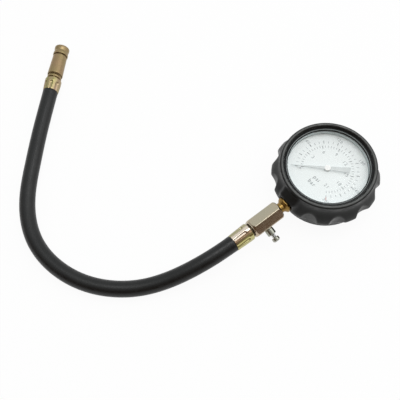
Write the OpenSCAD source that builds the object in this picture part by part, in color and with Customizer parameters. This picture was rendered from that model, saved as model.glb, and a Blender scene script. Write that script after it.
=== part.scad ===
// Compression tester gauge: a bottom-entry dial gauge in a lobed rubber boot, a hexagonal adapter
// with a press-to-release valve, a short rubber hose and a quick coupler with a sliding sleeve.
// Millimetres, +Z up. The gauge lies on its back: the boot's back face is z = 0, the dial faces +Z,
// the stem points along -Y and the release valve along +X, leaning down with the adapter's turn.

/* [Gauge head] */
// Outer radius of the steel case
case_radius = 31.5; // [31:0.25:32]
// Wall thickness of the steel case
case_wall = 0.8; // [0.6:0.1:0.9]
// Height of the boot, from its back face to its front lip
boot_height = 34.5; // [34:0.5:36]
// Thickness of the boot's back
boot_floor = 4; // [3:0.5:4.5]
// How far the boot's lobes stand out from the case
lobe_rise = 9.7; // [9:0.1:10.5]
// Number of places around the boot for a scallop, of which the one at the stem stays whole
scallop_count = 12; // [8:2:12]
// Radius of one scallop
scallop_radius = 9; // [7:0.5:10]
// Depth of one scallop where it is deepest
scallop_depth = 3.2; // [2:0.2:3.6]
// Radial width of the bezel's front flange, from the case's outside to its opening
bezel_flange = 1.3; // [1.1:0.1:1.6]
// Thickness of the lens
lens_thickness = 1.9; // [1.5:0.1:2.2]
// Thickness of the dial plate
dial_thickness = 0.6; // [0.4:0.1:0.8]

/* [Pointer and movement] */
// Length of the pointer from the dial's centre to its tip
pointer_length = 27.5; // [25:0.5:28]
// Length of the pointer's tail
tail_length = 16.8; // [12:0.4:18]
// Width of the tail's end
tail_width = 5; // [3.6:0.2:5.6]
// Turn of the pointer from zero to full scale, in degrees
full_sweep = 270; // [240:10:270]
// Direction of the zero mark, in degrees from +X
zero_angle = 225; // [220:1:230]
// Gear module of the pinion and the sector
gear_module = 0.3; // [0.29:0.005:0.3]
// Thickness of the movement's plates
plate_thickness = 1; // [0.8:0.1:1.2]
// Radius of the pinion arbor
arbor_radius = 0.6; // [0.5:0.05:0.7]
// Length of the sector's tail, from its pivot to the link pin
sector_tail = 6; // [5.5:0.25:6.25]
// Mean radius of the Bourdon tube's bend
tube_bend = 25.5; // [25:0.25:26]
// Height of the Bourdon tube's section
tube_height = 9; // [8:0.5:9]
// Thickness of the Bourdon tube's section
tube_thickness = 3; // [2.6:0.1:3]
// Wall of the Bourdon tube
tube_wall = 0.4; // [0.3:0.05:0.5]

/* [Stem and adapter] */
// Height of the stem's axis over the boot's back face
stem_height = 18; // [17.5:0.25:18.5]
// Width of the stem's square for the spanner
stem_square = 11.5; // [10:0.5:12]
// Radius to which the square's corners are turned
stem_corner = 6.2; // [6:0.1:7]
// Radius of the stem's neck, between its square and its thread
neck_radius = 4; // [3.8:0.1:4.4]
// Radius of the stem's thread
stem_thread = 4.85; // [4.5:0.05:5]
// Distance from the dial's centre to the adapter's inner end
adapter_start = 47.5; // [46:0.5:49]
// Length of the hexagonal adapter
adapter_length = 25.4; // [24.5:0.1:26.5]
// Width of the adapter across its flats
adapter_flats = 14; // [13.5:0.25:15]
// Turn of the adapter about the stem, which leans the release valve down, in degrees
adapter_turn = 15; // [0:5:30]
// Distance of the release valve from the adapter's inner end
valve_offset = 15; // [14.5:0.25:15.5]
// Radius of the release valve's barrel
valve_radius = 3.4; // [2.6:0.05:3.6]
// Length of the release valve's barrel
valve_length = 5.2; // [4.8:0.2:6]
// Radius of the release button
button_radius = 2.9; // [2.4:0.1:3.2]
// Length of the release button
button_length = 3.5; // [3:0.25:4.5]
// Travel of the release button
button_travel = 1; // [0.6:0.1:1]

/* [Hose] */
// Radius of the hose
hose_radius = 6.15; // [5.9:0.05:6.2]
// Radius of the hose's bore
hose_bore = 3.1; // [3.05:0.05:3.4]
// Length of the ferrule at the gauge's end
near_ferrule_length = 15.1; // [14:0.1:15.1]
// Radius of a ferrule at its collar
ferrule_collar = 6.95; // [6.8:0.05:7.1]
// Radius of a ferrule at its mouth
ferrule_mouth = 6.5; // [6.4:0.05:6.7]
// Number of crimp flutes around a ferrule
flute_count = 8; // [6:1:8]
// Depth of a crimp flute
flute_depth = 0.5; // [0.3:0.05:0.6]

/* [Coupler] */
// Length of the ferrule at the coupler
far_ferrule_length = 11.4; // [11:0.1:11.8]
// Whole length from the far ferrule's mouth to the coupler's nose
coupler_length = 46; // [45.5:0.25:48]
// Length of the sliding sleeve
sleeve_length = 19.6; // [18.6:0.2:19.8]
// Radius of the sleeve at its rear end
sleeve_rear = 6.45; // [6.35:0.05:6.7]
// Radius of the sleeve at its front end
sleeve_front = 5.95; // [5.9:0.05:6.2]
// Radius of the nose ring
nose_radius = 6.35; // [6.2:0.05:6.7]
// Radius of the coupler's socket bore
socket_radius = 3.6; // [3.4:0.05:3.65]
// Travel of the sleeve
sleeve_travel = 1.4; // [1.1:0.1:1.6]
// Number of locking balls
ball_count = 4; // [3:1:4]
// Radius of a locking ball
ball_radius = 1.2; // [1:0.05:1.2]

/* [Hidden] */
$fn = 64;
// Clearances: loose fit of rubber and sheet, a running fit, and a thread or press fit
loose = 0.2;
run = 0.05;
snug = 0.02;

// Heights of the gauge head, from the front lip down
bezel_sheet = 1;
bezel_top = boot_height - 2;
lens_top = bezel_top - bezel_sheet;
lens_bottom = lens_top - lens_thickness;
gasket_thickness = 1;
flange_top = lens_bottom - gasket_thickness;
flange_bottom = flange_top - 0.8;
dial_top = bezel_top - 5.7;
dial_bottom = dial_top - dial_thickness;
pointer_bottom = dial_top + 1.1;
pointer_thickness = 0.5;
hub_top = pointer_bottom + 1.1;

// Radii of the gauge head
case_inside = case_radius - case_wall;
flange_radius = case_radius + 0.9;
bezel_inside = flange_radius + 0.1;
bezel_radius = bezel_inside + 0.5;
opening_radius = case_radius - bezel_flange;
lens_radius = bezel_inside - 0.2;
dial_radius = case_inside - 0.3;
hub_radius = 2.35;
lobe_radius = case_radius + lobe_rise;
lobe_height = 17;
lobe_below = 8;
lobe_above = 13;
lip_radius = case_radius + 4.5;
hood_half = 9.5;
hood_top = stem_height + stem_square / 2 + 2;
hood_end = boot_height - 4;

// Heights of the movement: what is free between its two plates is shared out around the pieces
shelf_top = stem_height - 5;
lower_top = shelf_top + plate_thickness;
upper_top = dial_bottom - 2;
upper_bottom = upper_top - plate_thickness;
sector_thickness = 1.4;
link_thickness = 0.8;
collet_height = 1.4;
lug_thickness = 1.2;
spring_height = 0.8;
free_height = upper_bottom - lower_top - sector_thickness - link_thickness - collet_height;
sector_z = lower_top + 0.68 * free_height;
link_z = sector_z + sector_thickness + 0.14 * free_height;
lug_z = link_z + link_thickness + 0.2;
collet_z = link_z + link_thickness + 0.04 * free_height;
hairspring_z = collet_z + (collet_height - spring_height) / 2;

// Gear train: the sector stands for a wheel of 96 teeth, the pinion has 12
pinion_teeth = 12;
sector_teeth = 96;
pinion_pitch = gear_module * pinion_teeth / 2;
sector_pitch = gear_module * sector_teeth / 2;
gear_line = 300;
span = pinion_pitch + sector_pitch;
pivot = polar(span, gear_line);
tooth_step = 360 / sector_teeth;
sector_swing = full_sweep * pinion_teeth / sector_teeth;
addendum = 0.65 * gear_module;
dedendum = 1.35 * gear_module;
pin_radius = 0.5;

// Linkage: the tail's middle direction, the link square to it
tail_middle = -35;
tail_pin = pivot + polar(sector_tail, tail_middle - sector_swing / 2);
link_angle = tail_middle + 90;
link_length = 12;
tip_pin = tail_pin + polar(link_length, link_angle);
tube_end = -14;
tube_start = 262;
cap_angle = 8;
cap_bottom = stem_height - tube_height / 2 - 0.2;
cap_top = max(stem_height + tube_height / 2 + 0.2, lug_z + lug_thickness);

// Posts between the plates
post_radius = 1;
posts = span * [[-0.25, 0.26], [0.285, 0.235], [0.185, -1.14]];
plate_outline = span * [
    [-0.37, 0.12], [-0.37, 0.38], [0.43, 0.38], [0.8, -0.5], [0.8, -1.26], [0.03, -1.26], [-0.15, -0.6]
];
plate_screw_spots = span * [[-0.03, -0.74], [0.585, -1.14]];

// Stem and adapter, measured along -Y from the dial's centre
socket_front = 1.3 * span;
socket_half = 7;
shelf_width = socket_half + 0.68 * span;
shelf_front = 0.46 * span;
screw_side = 4;
screw_back = tube_bend - 0.5;
socket_back = case_inside - 1.3;
socket_below = 7;
socket_above = 4.5;
wall_bore = 5.1;
square_end = 41.8;
neck_start = square_end + stem_corner - neck_radius;
stem_end = adapter_start + 8.5;
stem_bore = 1.5;
adapter_end = adapter_start + adapter_length;
passage = 1.6;
nipple_depth = 6.5;
nipple_thread = 4.4;
valve_y = -(adapter_start + valve_offset);
valve_inner = 2.6;
valve_thread = 2.45;
valve_face = adapter_flats / 2;
barrel_end = valve_face + valve_length;
button_gap = button_travel + 1.6;
button_start = barrel_end + button_gap;
valve_stem = 0.9;
spring_pocket = 2.1;

// Hose ends
near_gap = 2.4;
near_start = adapter_end + near_gap;
near_mouth = near_start + near_ferrule_length;
ferrule_inside = 5.75;
ferrule_floor = 1.2;
crimped_radius = 5.6;
barb_radius = 2.9;
nipple_bore = 1.5;

// Coupler, measured from the far ferrule's mouth
coupler_at = [-206, -124, 7.2];
coupler_turn = 135;
tail_ring = far_ferrule_length + 1.7;
tail_ring_end = tail_ring + 2;
sleeve_start = tail_ring_end + sleeve_travel + 0.2;
sleeve_end = sleeve_start + sleeve_length;
nose_start = sleeve_end + 1.1;
body_start = sleeve_start - 0.4;
body_radius = 5.05;
sleeve_bore = body_radius + run;
spring_bore = 5.75;
sleeve_step = sleeve_start + 11.6;
ball_place = sleeve_end - 3.4;
ball_ring = body_radius - ball_radius;
ball_relief = 1.5;
spigot_radius = 4;
spigot_end = body_start + 2.2;
barrel_start = body_start + 4;
barrel_top = barrel_start + 5;
check_radius = 2.9;
pin_shaft = 0.7;
pin_top = barrel_top + 2.5;

// Hose route: control points of a smooth curve, from inside one ferrule to inside the other
route = [
    [0, -78, 18],
    [0, -100, 18],
    [-3, -122, 15],
    [-9, -143, 9],
    [-18, -164, 6.4],
    [-33, -183, 6.2],
    [-52, -197, 6.2],
    [-75, -205, 6.2],
    [-98, -206, 6.2],
    [-120, -199, 6.2],
    [-139, -187, 6.2],
    [-157, -171, 6.2],
    [-175, -155, 6.2],
    [-193, -137, 7.2],
    [-212, -118, 7.2]
];
ring_sides = 12;
rings_per_span = 4;

function polar(r, a) = [r * cos(a), r * sin(a)];

// Boot wall: a straight draft from back to lip with one smooth swell for the lobes
function swell(z) = let (t = (z - lobe_height) / (z < lobe_height ? lobe_below : lobe_above))
    abs(t) < 1 ? pow(cos(90 * t), 2) : 0;
function draft(z) = case_radius + 4.2 + 0.4 * z / boot_height;
function wall_radius(z) = draft(z) + (lobe_radius - draft(lobe_height)) * swell(z);

// One ring of a gear's outline: root, tip, tip, root
function tooth(root, tip, middle, wide, narrow) = [
    polar(root, middle - wide),
    polar(tip, middle - narrow),
    polar(tip, middle + narrow),
    polar(root, middle + wide)
];

// Cubic B-spline through the route, its two ends reflected so that it starts and stops on them
function control(p, i) = let (n = len(p))
    i < 0 ? 2 * p[0] - p[1] : i >= n ? 2 * p[n - 1] - p[n - 2] : p[i];
function blend(p, i, t) = (
    pow(1 - t, 3) * control(p, i - 1)
    + (3 * pow(t, 3) - 6 * pow(t, 2) + 4) * control(p, i)
    + (-3 * pow(t, 3) + 3 * pow(t, 2) + 3 * t + 1) * control(p, i + 1)
    + pow(t, 3) * control(p, i + 2)
) / 6;
function along(p, u) = let (i = min(floor(u), len(p) - 2)) blend(p, i, u - i);
function unit(v) = v / norm(v);
function heading(p, u) = unit(along(p, min(u + 0.01, len(p) - 1)) - along(p, max(u - 0.01, 0)));

// Points of one ring around the path at u
function ring_at(p, u, r, sides) = let (
    c = along(p, u),
    h = heading(p, u),
    s = unit(cross(h, [0, 0, 1])),
    v = cross(s, h)
) [for (k = [0:sides - 1]) c + r * (cos(360 * k / sides) * s + sin(360 * k / sides) * v)];

// Points of a coil spring's wire, ring by ring, along +Z
function coil_ring(r, wire, pitch, turn, sides) = let (
    c = [r * cos(turn), r * sin(turn), pitch * turn / 360],
    h = unit([-r * sin(turn), r * cos(turn), pitch / (2 * PI)]),
    s = [cos(turn), sin(turn), 0],
    v = cross(h, s)
) [for (k = [0:sides - 1]) c + wire * (cos(360 * k / sides) * s + sin(360 * k / sides) * v)];

// Faces between rings of equal sides, with a face at each end
function skin(rings, sides) = concat(
    [[for (k = [sides - 1:-1:0]) k]],
    [for (i = [0:rings - 2]) for (k = [0:sides - 1]) let (a = i * sides, n = (k + 1) % sides) each [
        [a + k, a + n, a + sides + n],
        [a + k, a + sides + n, a + sides + k]
    ]],
    [[for (k = [0:sides - 1]) (rings - 1) * sides + k]]
);

// A coil spring from z = 0 to its length
module coil(r, wire, length, turns) {
    steps = turns * 20;
    pitch = (length - 2 * wire) / turns;
    points = [for (i = [0:steps]) each coil_ring(r, wire, pitch, 360 * turns * i / steps, 6)];
    faces = [for (f = skin(steps + 1, 6)) [for (k = [len(f) - 1:-1:0]) f[k]]];
    translate([0, 0, wire]) polyhedron(points, faces);
}

// Turns +Z to -Y on the stem's axis
module on_stem() {
    translate([0, 0, stem_height]) rotate([90, 0, 0]) children();
}

// Turns +Z to the release valve's axis, which is +X leaning down by the adapter's turn
module on_valve() {
    translate([0, valve_y, stem_height]) rotate([0, 90 + adapter_turn, 0]) children();
}

// Turns +Z to the coupler's axis
module on_coupler() {
    translate(coupler_at) rotate([0, 0, coupler_turn]) rotate([0, 90, 0]) children();
}

// A ring or washer between two radii
module ring(inner, outer, height) {
    difference() {
        cylinder(r = outer, h = height);
        translate([0, 0, -1]) cylinder(r = inner, h = height + 2);
    }
}

module rubber_boot() {
    color([0.1, 0.1, 0.11]) difference() {
        union() {
            rotate_extrude() polygon(concat(
                [[0, 0], [case_radius + 3, 0], [case_radius + 3.8, 0.4]],
                [for (i = [0:24]) let (z = 1.4 + (boot_height - 3.4) * i / 24) [wall_radius(z), z]],
                [[lip_radius - 0.2, boot_height - 0.9], [lip_radius - 0.8, boot_height - 0.25]],
                [[lip_radius - 1.5, boot_height], [lip_radius - 2.2, boot_height - 0.1]],
                [[lip_radius - 2.9, boot_height - 0.5], [bezel_radius - 0.5, boot_height - 1.2]],
                [[bezel_radius - 0.5, bezel_top + loose], [bezel_radius + loose, bezel_top + loose]],
                [[bezel_radius + loose, flange_bottom - 1.2], [case_radius + loose, flange_bottom - 1.2]],
                [[case_radius + loose, boot_floor], [0, boot_floor]]
            ));
            rotate(-90 - hood_half) rotate_extrude(angle = 2 * hood_half) polygon([
                [case_radius + 2.5, lobe_height], [lobe_radius, lobe_height], [lobe_radius, hood_top - 0.8],
                [lobe_radius - 0.8, hood_top], [wall_radius(hood_end) - 0.2, hood_end],
                [case_radius + 2.5, hood_end]
            ]);
        }
        for (k = [1:scallop_count - 1])
            rotate(360 * k / scallop_count - 90)
                translate([lobe_radius - scallop_depth + scallop_radius, 0, -1])
                    cylinder(r = scallop_radius, h = boot_height + 2);
        on_stem() translate([-stem_square / 2 - 0.4, -stem_square / 2 - 0.4, case_radius - 3])
            cube([stem_square + 0.8, stem_square + 0.8, 20]);
        for (s = [-1, 1]) translate([screw_side * s, -screw_back, boot_floor - 1.6])
            cylinder(r = 2.6, h = 3);
    }
}

module case() {
    color([0.16, 0.16, 0.17]) difference() {
        rotate_extrude() polygon([
            [0, boot_floor], [case_radius, boot_floor], [case_radius, flange_bottom],
            [flange_radius, flange_bottom], [flange_radius, flange_top], [case_inside, flange_top],
            [case_inside, boot_floor + 1], [0, boot_floor + 1]
        ]);
        on_stem() cylinder(r = wall_bore, h = case_radius + 2);
        for (s = [-1, 1]) translate([screw_side * s, -screw_back, 0]) cylinder(r = 1.6, h = boot_floor + 2);
    }
}

module bezel_ring() {
    color([0.07, 0.07, 0.08]) rotate_extrude() polygon([
        [opening_radius, lens_top], [opening_radius, bezel_top - 0.55],
        [opening_radius + 0.5, bezel_top - 0.1], [opening_radius + 1, bezel_top],
        [bezel_radius - 0.5, bezel_top], [bezel_radius - 0.1, bezel_top - 0.3],
        [bezel_radius, bezel_top - 0.7],
        [bezel_radius, flange_bottom - 0.9], [case_radius + 0.2, flange_bottom - 0.9],
        [case_radius + 0.2, flange_bottom - 0.1], [bezel_inside, flange_bottom - 0.1],
        [bezel_inside, lens_top]
    ]);
}

module lens() {
    color([0.85, 0.92, 0.95, 0.35]) translate([0, 0, lens_bottom])
        cylinder(r = lens_radius, h = lens_thickness);
}

module lens_gasket() {
    color([0.2, 0.2, 0.2]) translate([0, 0, flange_top])
        ring(case_inside + 0.1, flange_radius - 0.1, gasket_thickness);
}

module dial_plate() {
    color([0.93, 0.94, 0.94]) {
        difference() {
            translate([0, 0, dial_bottom]) cylinder(r = dial_radius, h = dial_thickness);
            translate([0, 0, dial_bottom - 1]) cylinder(r = arbor_radius + 0.9, h = dial_thickness + 2);
        }
        for (p = [posts[0], posts[2]]) translate([p[0], p[1], upper_top])
            cylinder(r = 0.9, h = dial_bottom - upper_top + 0.2);
    }
}

module stop_pin() {
    color([0.75, 0.75, 0.76]) rotate(zero_angle) translate([20, 0.75 + pin_radius, dial_top])
        cylinder(r = pin_radius, h = pointer_bottom + pointer_thickness + 0.4 - dial_top);
}

module pointer() {
    color([0.5, 0.5, 0.52]) difference() {
        translate([0, 0, pointer_bottom]) rotate(zero_angle) linear_extrude(pointer_thickness) polygon([
            [pointer_length, 0.25], [2, 1.2], [0, 1.4], [-tail_length + 1.2, tail_width / 2],
            [-tail_length, -tail_width / 2 + 0.4], [0, -1.4], [2, -1.2], [pointer_length, -0.25]
        ]);
        translate([0, 0, pointer_bottom - 1]) cylinder(r = 1.25, h = 3);
    }
}

module pointer_hub() {
    color([0.92, 0.92, 0.92]) difference() {
        union() {
            translate([0, 0, pointer_bottom - 0.5]) cylinder(r = 1.2, h = 1);
            translate([0, 0, pointer_bottom + pointer_thickness]) cylinder(r = hub_radius, h = 0.4);
            translate([0, 0, pointer_bottom + pointer_thickness + 0.4])
                cylinder(r1 = hub_radius, r2 = hub_radius - 0.2, h = 0.2);
        }
        translate([0, 0, pointer_bottom - 1]) cylinder(r = arbor_radius + snug, h = 1.8);
    }
}

// Outline shared by the two movement plates
module plate_form(holes) {
    difference() {
        union() {
            linear_extrude(plate_thickness) polygon(plate_outline);
            for (p = posts) translate([p[0], p[1], 0]) cylinder(r = 1.9, h = plate_thickness);
        }
        translate([0, 0, -1]) cylinder(r = holes, h = plate_thickness + 2);
        translate([pivot[0], pivot[1], -1]) cylinder(r = holes, h = plate_thickness + 2);
    }
}

module lower_plate() {
    color([0.8, 0.66, 0.35]) difference() {
        translate([0, 0, shelf_top]) plate_form(arbor_radius - 0.1 + run);
        for (p = plate_screw_spots) translate([p[0], p[1], shelf_top - 1]) cylinder(r = 0.9, h = 4);
    }
}

module upper_plate() {
    color([0.82, 0.68, 0.36]) translate([0, 0, upper_bottom]) plate_form(arbor_radius + run);
}

module plate_posts() {
    color([0.78, 0.62, 0.3]) for (p = posts) translate([p[0], p[1], lower_top])
        cylinder(r = post_radius, h = upper_bottom - lower_top);
}

module plate_screws() {
    color([0.7, 0.7, 0.72]) for (p = plate_screw_spots) translate([p[0], p[1], lower_top]) difference() {
        union() {
            cylinder(r = 1.5, h = 0.9);
            translate([0, 0, -plate_thickness - 2]) cylinder(r = 0.8, h = plate_thickness + 2.2);
        }
        translate([-2, -0.2, 0.5]) cube([4, 0.4, 1]);
    }
}

module pinion_arbor() {
    wide = 0.26 / (pinion_pitch - dedendum) * 180 / PI;
    narrow = 0.1 / (pinion_pitch + addendum) * 180 / PI;
    color([0.75, 0.75, 0.78]) {
        translate([0, 0, sector_z - 0.8]) linear_extrude(sector_thickness + 1.6) polygon([
            for (k = [0:pinion_teeth - 1])
                each tooth(pinion_pitch - dedendum, pinion_pitch + addendum, gear_line + 30 * k, wide, narrow)
        ]);
        translate([0, 0, shelf_top + 0.2]) cylinder(r = arbor_radius - 0.1, h = sector_z - shelf_top);
        translate([0, 0, sector_z]) cylinder(r = arbor_radius, h = pointer_bottom + 0.7 - sector_z);
        translate([0, 0, collet_z]) cylinder(r = 1.1, h = collet_height);
    }
}

module sector_gear() {
    wide = 0.25 / sector_pitch * 180 / PI;
    narrow = 0.11 / sector_pitch * 180 / PI;
    root = sector_pitch - dedendum;
    first = ceil(sector_swing / tooth_step) + 1;
    low = gear_line - 180 - first * tooth_step - 1;
    high = gear_line - 180 + 2 * tooth_step + 1;
    color([0.8, 0.64, 0.32]) translate([pivot[0], pivot[1], sector_z]) difference() {
        union() {
            linear_extrude(sector_thickness) polygon(concat(
                [polar(root - 2, low), polar(root, low)],
                [for (k = [-first:1]) let (middle = gear_line - 180 + (k + 0.5) * tooth_step)
                    each tooth(root, sector_pitch + addendum, middle, wide, narrow)],
                [polar(root, high), polar(root - 2, high)],
                [for (i = [1:7]) polar(root - 2, high - (high - low) * i / 8)]
            ));
            linear_extrude(sector_thickness) polygon([
                polar(1.6, low - 60), polar(root - 1.5, low), polar(root - 1.5, low + 6),
                polar(3.4, (low + high) / 2),
                polar(root - 1.5, high - 6), polar(root - 1.5, high), polar(1.6, high + 60)
            ]);
            cylinder(r = 2.3, h = sector_thickness);
            rotate(tail_middle - sector_swing / 2) {
                translate([0, -1, 0]) cube([sector_tail, 2, sector_thickness]);
                translate([sector_tail, 0, 0]) cylinder(r = 1.2, h = sector_thickness);
                translate([sector_tail, 0, sector_thickness - 0.2])
                    cylinder(r = pin_radius, h = link_z + link_thickness + 0.3 - sector_z - sector_thickness);
            }
        }
        translate([0, 0, -1]) cylinder(r = arbor_radius + snug, h = sector_thickness + 2);
    }
}

module sector_arbor() {
    color([0.72, 0.72, 0.75]) translate([pivot[0], pivot[1], 0]) {
        translate([0, 0, shelf_top + 0.2]) cylinder(r = arbor_radius - 0.1, h = 4);
        translate([0, 0, shelf_top + 2.2]) cylinder(r = arbor_radius, h = upper_top - shelf_top - 2.4);
    }
}

module hairspring() {
    turns = 3.5;
    steps = 70;
    inner = 1.15;
    pitch = 0.8;
    color([0.75, 0.6, 0.3]) translate([0, 0, hairspring_z]) linear_extrude(spring_height) polygon(concat(
        [for (i = [0:steps]) polar(inner + pitch * turns * i / steps, 360 * turns * i / steps)],
        [for (i = [steps:-1:0]) polar(inner + 0.15 + pitch * turns * i / steps, 360 * turns * i / steps)]
    ));
}

// Stadium section of the tube, at its bend radius
module tube_section(thickness, height) {
    translate([tube_bend, stem_height]) union() {
        translate([-thickness / 2, -(height - thickness) / 2]) square([thickness, height - thickness]);
        for (s = [-1, 1]) translate([0, s * (height - thickness) / 2]) circle(d = thickness, $fn = 32);
    }
}

module bourdon_tube() {
    color([0.78, 0.6, 0.3]) rotate(tube_end) rotate_extrude(angle = tube_start - tube_end) difference() {
        tube_section(tube_thickness, tube_height);
        tube_section(tube_thickness - 2 * tube_wall, tube_height - 2 * tube_wall);
    }
}

module bourdon_tip() {
    cap_half = tube_thickness / 2 + 0.4;
    root = polar(tube_bend - cap_half + 1, tube_end - cap_angle / 2);
    across = unit(tip_pin - root);
    side = 1.3 * [-across[1], across[0]];
    color([0.76, 0.58, 0.28]) {
        rotate(tube_end - cap_angle) rotate_extrude(angle = cap_angle)
            translate([tube_bend - cap_half, cap_bottom])
                square([2 * cap_half, cap_top - cap_bottom]);
        translate([0, 0, lug_z]) linear_extrude(lug_thickness) polygon([
            root + side, root - side, tip_pin - side, tip_pin + side
        ]);
        translate([tip_pin[0], tip_pin[1], lug_z]) cylinder(r = 1.3, h = lug_thickness);
        translate([tip_pin[0], tip_pin[1], link_z - 0.2]) cylinder(r = pin_radius, h = lug_z - link_z + 0.6);
    }
}

module tip_link() {
    color([0.74, 0.74, 0.76]) translate([tail_pin[0], tail_pin[1], link_z]) rotate(link_angle) difference() {
        union() {
            translate([0, -0.8, 0]) cube([link_length, 1.6, link_thickness]);
            cylinder(r = 1.6, h = link_thickness);
            translate([link_length, 0, 0]) cylinder(r = 1.3, h = link_thickness);
        }
        translate([0, 0, -1]) cylinder(r = pin_radius + 0.45, h = 3);
        translate([link_length, 0, -1]) cylinder(r = pin_radius + snug, h = 3);
    }
}

module stem_socket() {
    color([0.82, 0.68, 0.38]) difference() {
        union() {
            on_stem() intersection() {
                translate([-stem_square / 2, -stem_square / 2, case_radius + 0.1])
                    cube([stem_square, stem_square, neck_start - case_radius - 0.1]);
                rotate_extrude() polygon([
                    [0, case_radius], [stem_corner, case_radius], [stem_corner, square_end],
                    [neck_radius, neck_start], [0, neck_start]
                ]);
            }
            on_stem() translate([0, 0, socket_back - 0.5])
                cylinder(r = wall_bore - 0.1, h = case_radius + 0.6 - socket_back);
            on_stem() translate([0, 0, neck_start - 0.5])
                cylinder(r = neck_radius, h = adapter_start - neck_start + 1.5);
            on_stem() translate([0, 0, adapter_start + 0.6])
                cylinder(r = stem_thread, h = stem_end - adapter_start - 0.6);
            translate([-socket_half, -socket_back, stem_height - socket_below])
                cube([2 * socket_half, socket_back - socket_front, socket_below + socket_above]);
            translate([-socket_half, -socket_front - 0.5, shelf_top - 3])
                cube([shelf_width, socket_front + 0.5 - shelf_front, 3]);
            for (s = [-1, 1]) translate([screw_side * s, -screw_back, boot_floor + 1])
                cylinder(r = 2.5, h = shelf_top - boot_floor - 3);
        }
        on_stem() translate([0, 0, tube_bend - 1]) cylinder(r = stem_bore, h = stem_end);
        rotate(tube_start - 20) rotate_extrude(angle = 27)
            tube_section(tube_thickness + 2 * run, tube_height + 2 * run);
        for (s = [-1, 1]) translate([screw_side * s, -screw_back, boot_floor])
            cylinder(r = 1.4 + snug, h = 7);
        for (p = plate_screw_spots) translate([p[0], p[1], shelf_top - 4]) cylinder(r = 0.8 + snug, h = 5);
        on_stem() translate([0, 0, stem_end - 4.2]) cylinder(r = 2 + snug, h = 5);
    }
}

module case_screws() {
    color([0.66, 0.66, 0.68]) for (s = [-1, 1]) translate([screw_side * s, -screw_back, 0]) difference() {
        union() {
            translate([0, 0, boot_floor - 1.3]) cylinder(r = 2.3, h = 1.3);
            translate([0, 0, boot_floor - 0.2]) cylinder(r = 1.4, h = 6);
        }
        translate([-3, -0.3, boot_floor - 2]) cube([6, 0.6, 1.2]);
    }
}

module restrictor() {
    color([0.84, 0.7, 0.42]) on_stem() translate([0, 0, stem_end - 4]) ring(0.3, 2, 4);
}

module hex_adapter() {
    half = adapter_flats / 2;
    corner = half / cos(30);
    color([0.72, 0.66, 0.52]) difference() {
        on_stem() translate([0, 0, adapter_start]) intersection() {
            rotate(30 - adapter_turn) cylinder(r = corner, h = adapter_length, $fn = 6);
            rotate_extrude() polygon([
                [0, 0], [half - 0.1, 0], [corner + 0.1, 0.75], [corner + 0.1, adapter_length - 0.75],
                [half - 0.1, adapter_length], [0, adapter_length]
            ]);
        }
        on_stem() {
            translate([0, 0, adapter_start - 1])
                cylinder(r = stem_thread + snug, h = stem_end - adapter_start + 1.2);
            translate([0, 0, adapter_start]) cylinder(r = passage, h = adapter_length);
            translate([0, 0, adapter_end - nipple_depth])
                cylinder(r = nipple_thread + snug, h = nipple_depth + 1);
        }
        on_valve() translate([0, 0, valve_inner]) cylinder(r = valve_thread + snug, h = 10);
        on_valve() cylinder(r = 1.9, h = valve_inner + 1);
    }
}

module valve_body() {
    color([0.8, 0.8, 0.8]) on_valve() difference() {
        union() {
            translate([0, 0, valve_inner]) cylinder(r = valve_thread, h = valve_face - valve_inner + 0.5);
            translate([0, 0, valve_face]) rotate_extrude() polygon([
                [0, 0], [valve_radius, 0], [valve_radius, valve_length - 0.3],
                [valve_radius - 0.3, valve_length], [0, valve_length]
            ]);
        }
        translate([0, 0, valve_inner - 1]) cylinder(r = valve_stem + run, h = 20);
        translate([0, 0, barrel_end - 3.2]) cylinder(r = spring_pocket, h = 5);
    }
}

module valve_button() {
    color([0.82, 0.82, 0.82]) on_valve() {
        translate([0, 0, button_start]) rotate_extrude() polygon([
            [0, 0], [button_radius - 0.4, 0], [button_radius, 0.4], [button_radius, button_length - 0.9],
            [button_radius - 0.25, button_length - 0.35], [button_radius - 0.8, button_length],
            [0, button_length]
        ]);
        translate([0, 0, 1.4]) cylinder(r = valve_stem, h = button_start - 1);
        translate([0, 0, 1.3]) cylinder(r = 1.6, h = 0.7);
    }
}

module valve_seal() {
    color([0.12, 0.12, 0.12]) on_valve() translate([0, 0, 2]) ring(valve_stem + snug, 1.6, valve_inner - 2);
}

module valve_spring() {
    color([0.7, 0.7, 0.72]) on_valve() translate([0, 0, barrel_end - 3.2])
        coil(1.5, 0.22, 3.2 + button_gap, 7);
}

module hose_nipple() {
    color([0.5, 0.42, 0.28]) on_stem() difference() {
        union() {
            translate([0, 0, adapter_end - nipple_depth + 0.2]) cylinder(r = nipple_thread, h = nipple_depth);
            translate([0, 0, adapter_end]) cylinder(r = 5.2, h = near_gap);
            translate([0, 0, near_start - 0.5]) cylinder(r = barb_radius, h = near_ferrule_length - 1);
        }
        translate([0, 0, adapter_end - nipple_depth - 1]) cylinder(r = nipple_bore, h = 40);
    }
}

// A crimped ferrule from its mouth at z = 0 to its collar
module ferrule_form(length) {
    flute = 2;
    reach = length - 5;
    difference() {
        rotate_extrude() polygon([
            [barb_radius + 0.1, length], [ferrule_collar - 0.5, length], [ferrule_collar, length - 0.5],
            [ferrule_collar, length - 2.2], [ferrule_mouth, 0.8],
            [ferrule_mouth - 0.2, 0.15], [ferrule_mouth - 0.4, 0], [ferrule_inside + 0.3, 0],
            [ferrule_inside, 2.4], [ferrule_inside, length - ferrule_floor],
            [barb_radius + 0.1, length - ferrule_floor]
        ]);
        for (k = [0:flute_count - 1]) rotate(360 * (k + 0.5) / flute_count)
            translate([ferrule_mouth + 0.1 + flute - flute_depth, 0, 0]) {
                translate([0, 0, -1]) cylinder(r = flute, h = reach + 1, $fn = 32);
                translate([0, 0, reach]) sphere(r = flute, $fn = 32);
            }
    }
}

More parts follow.
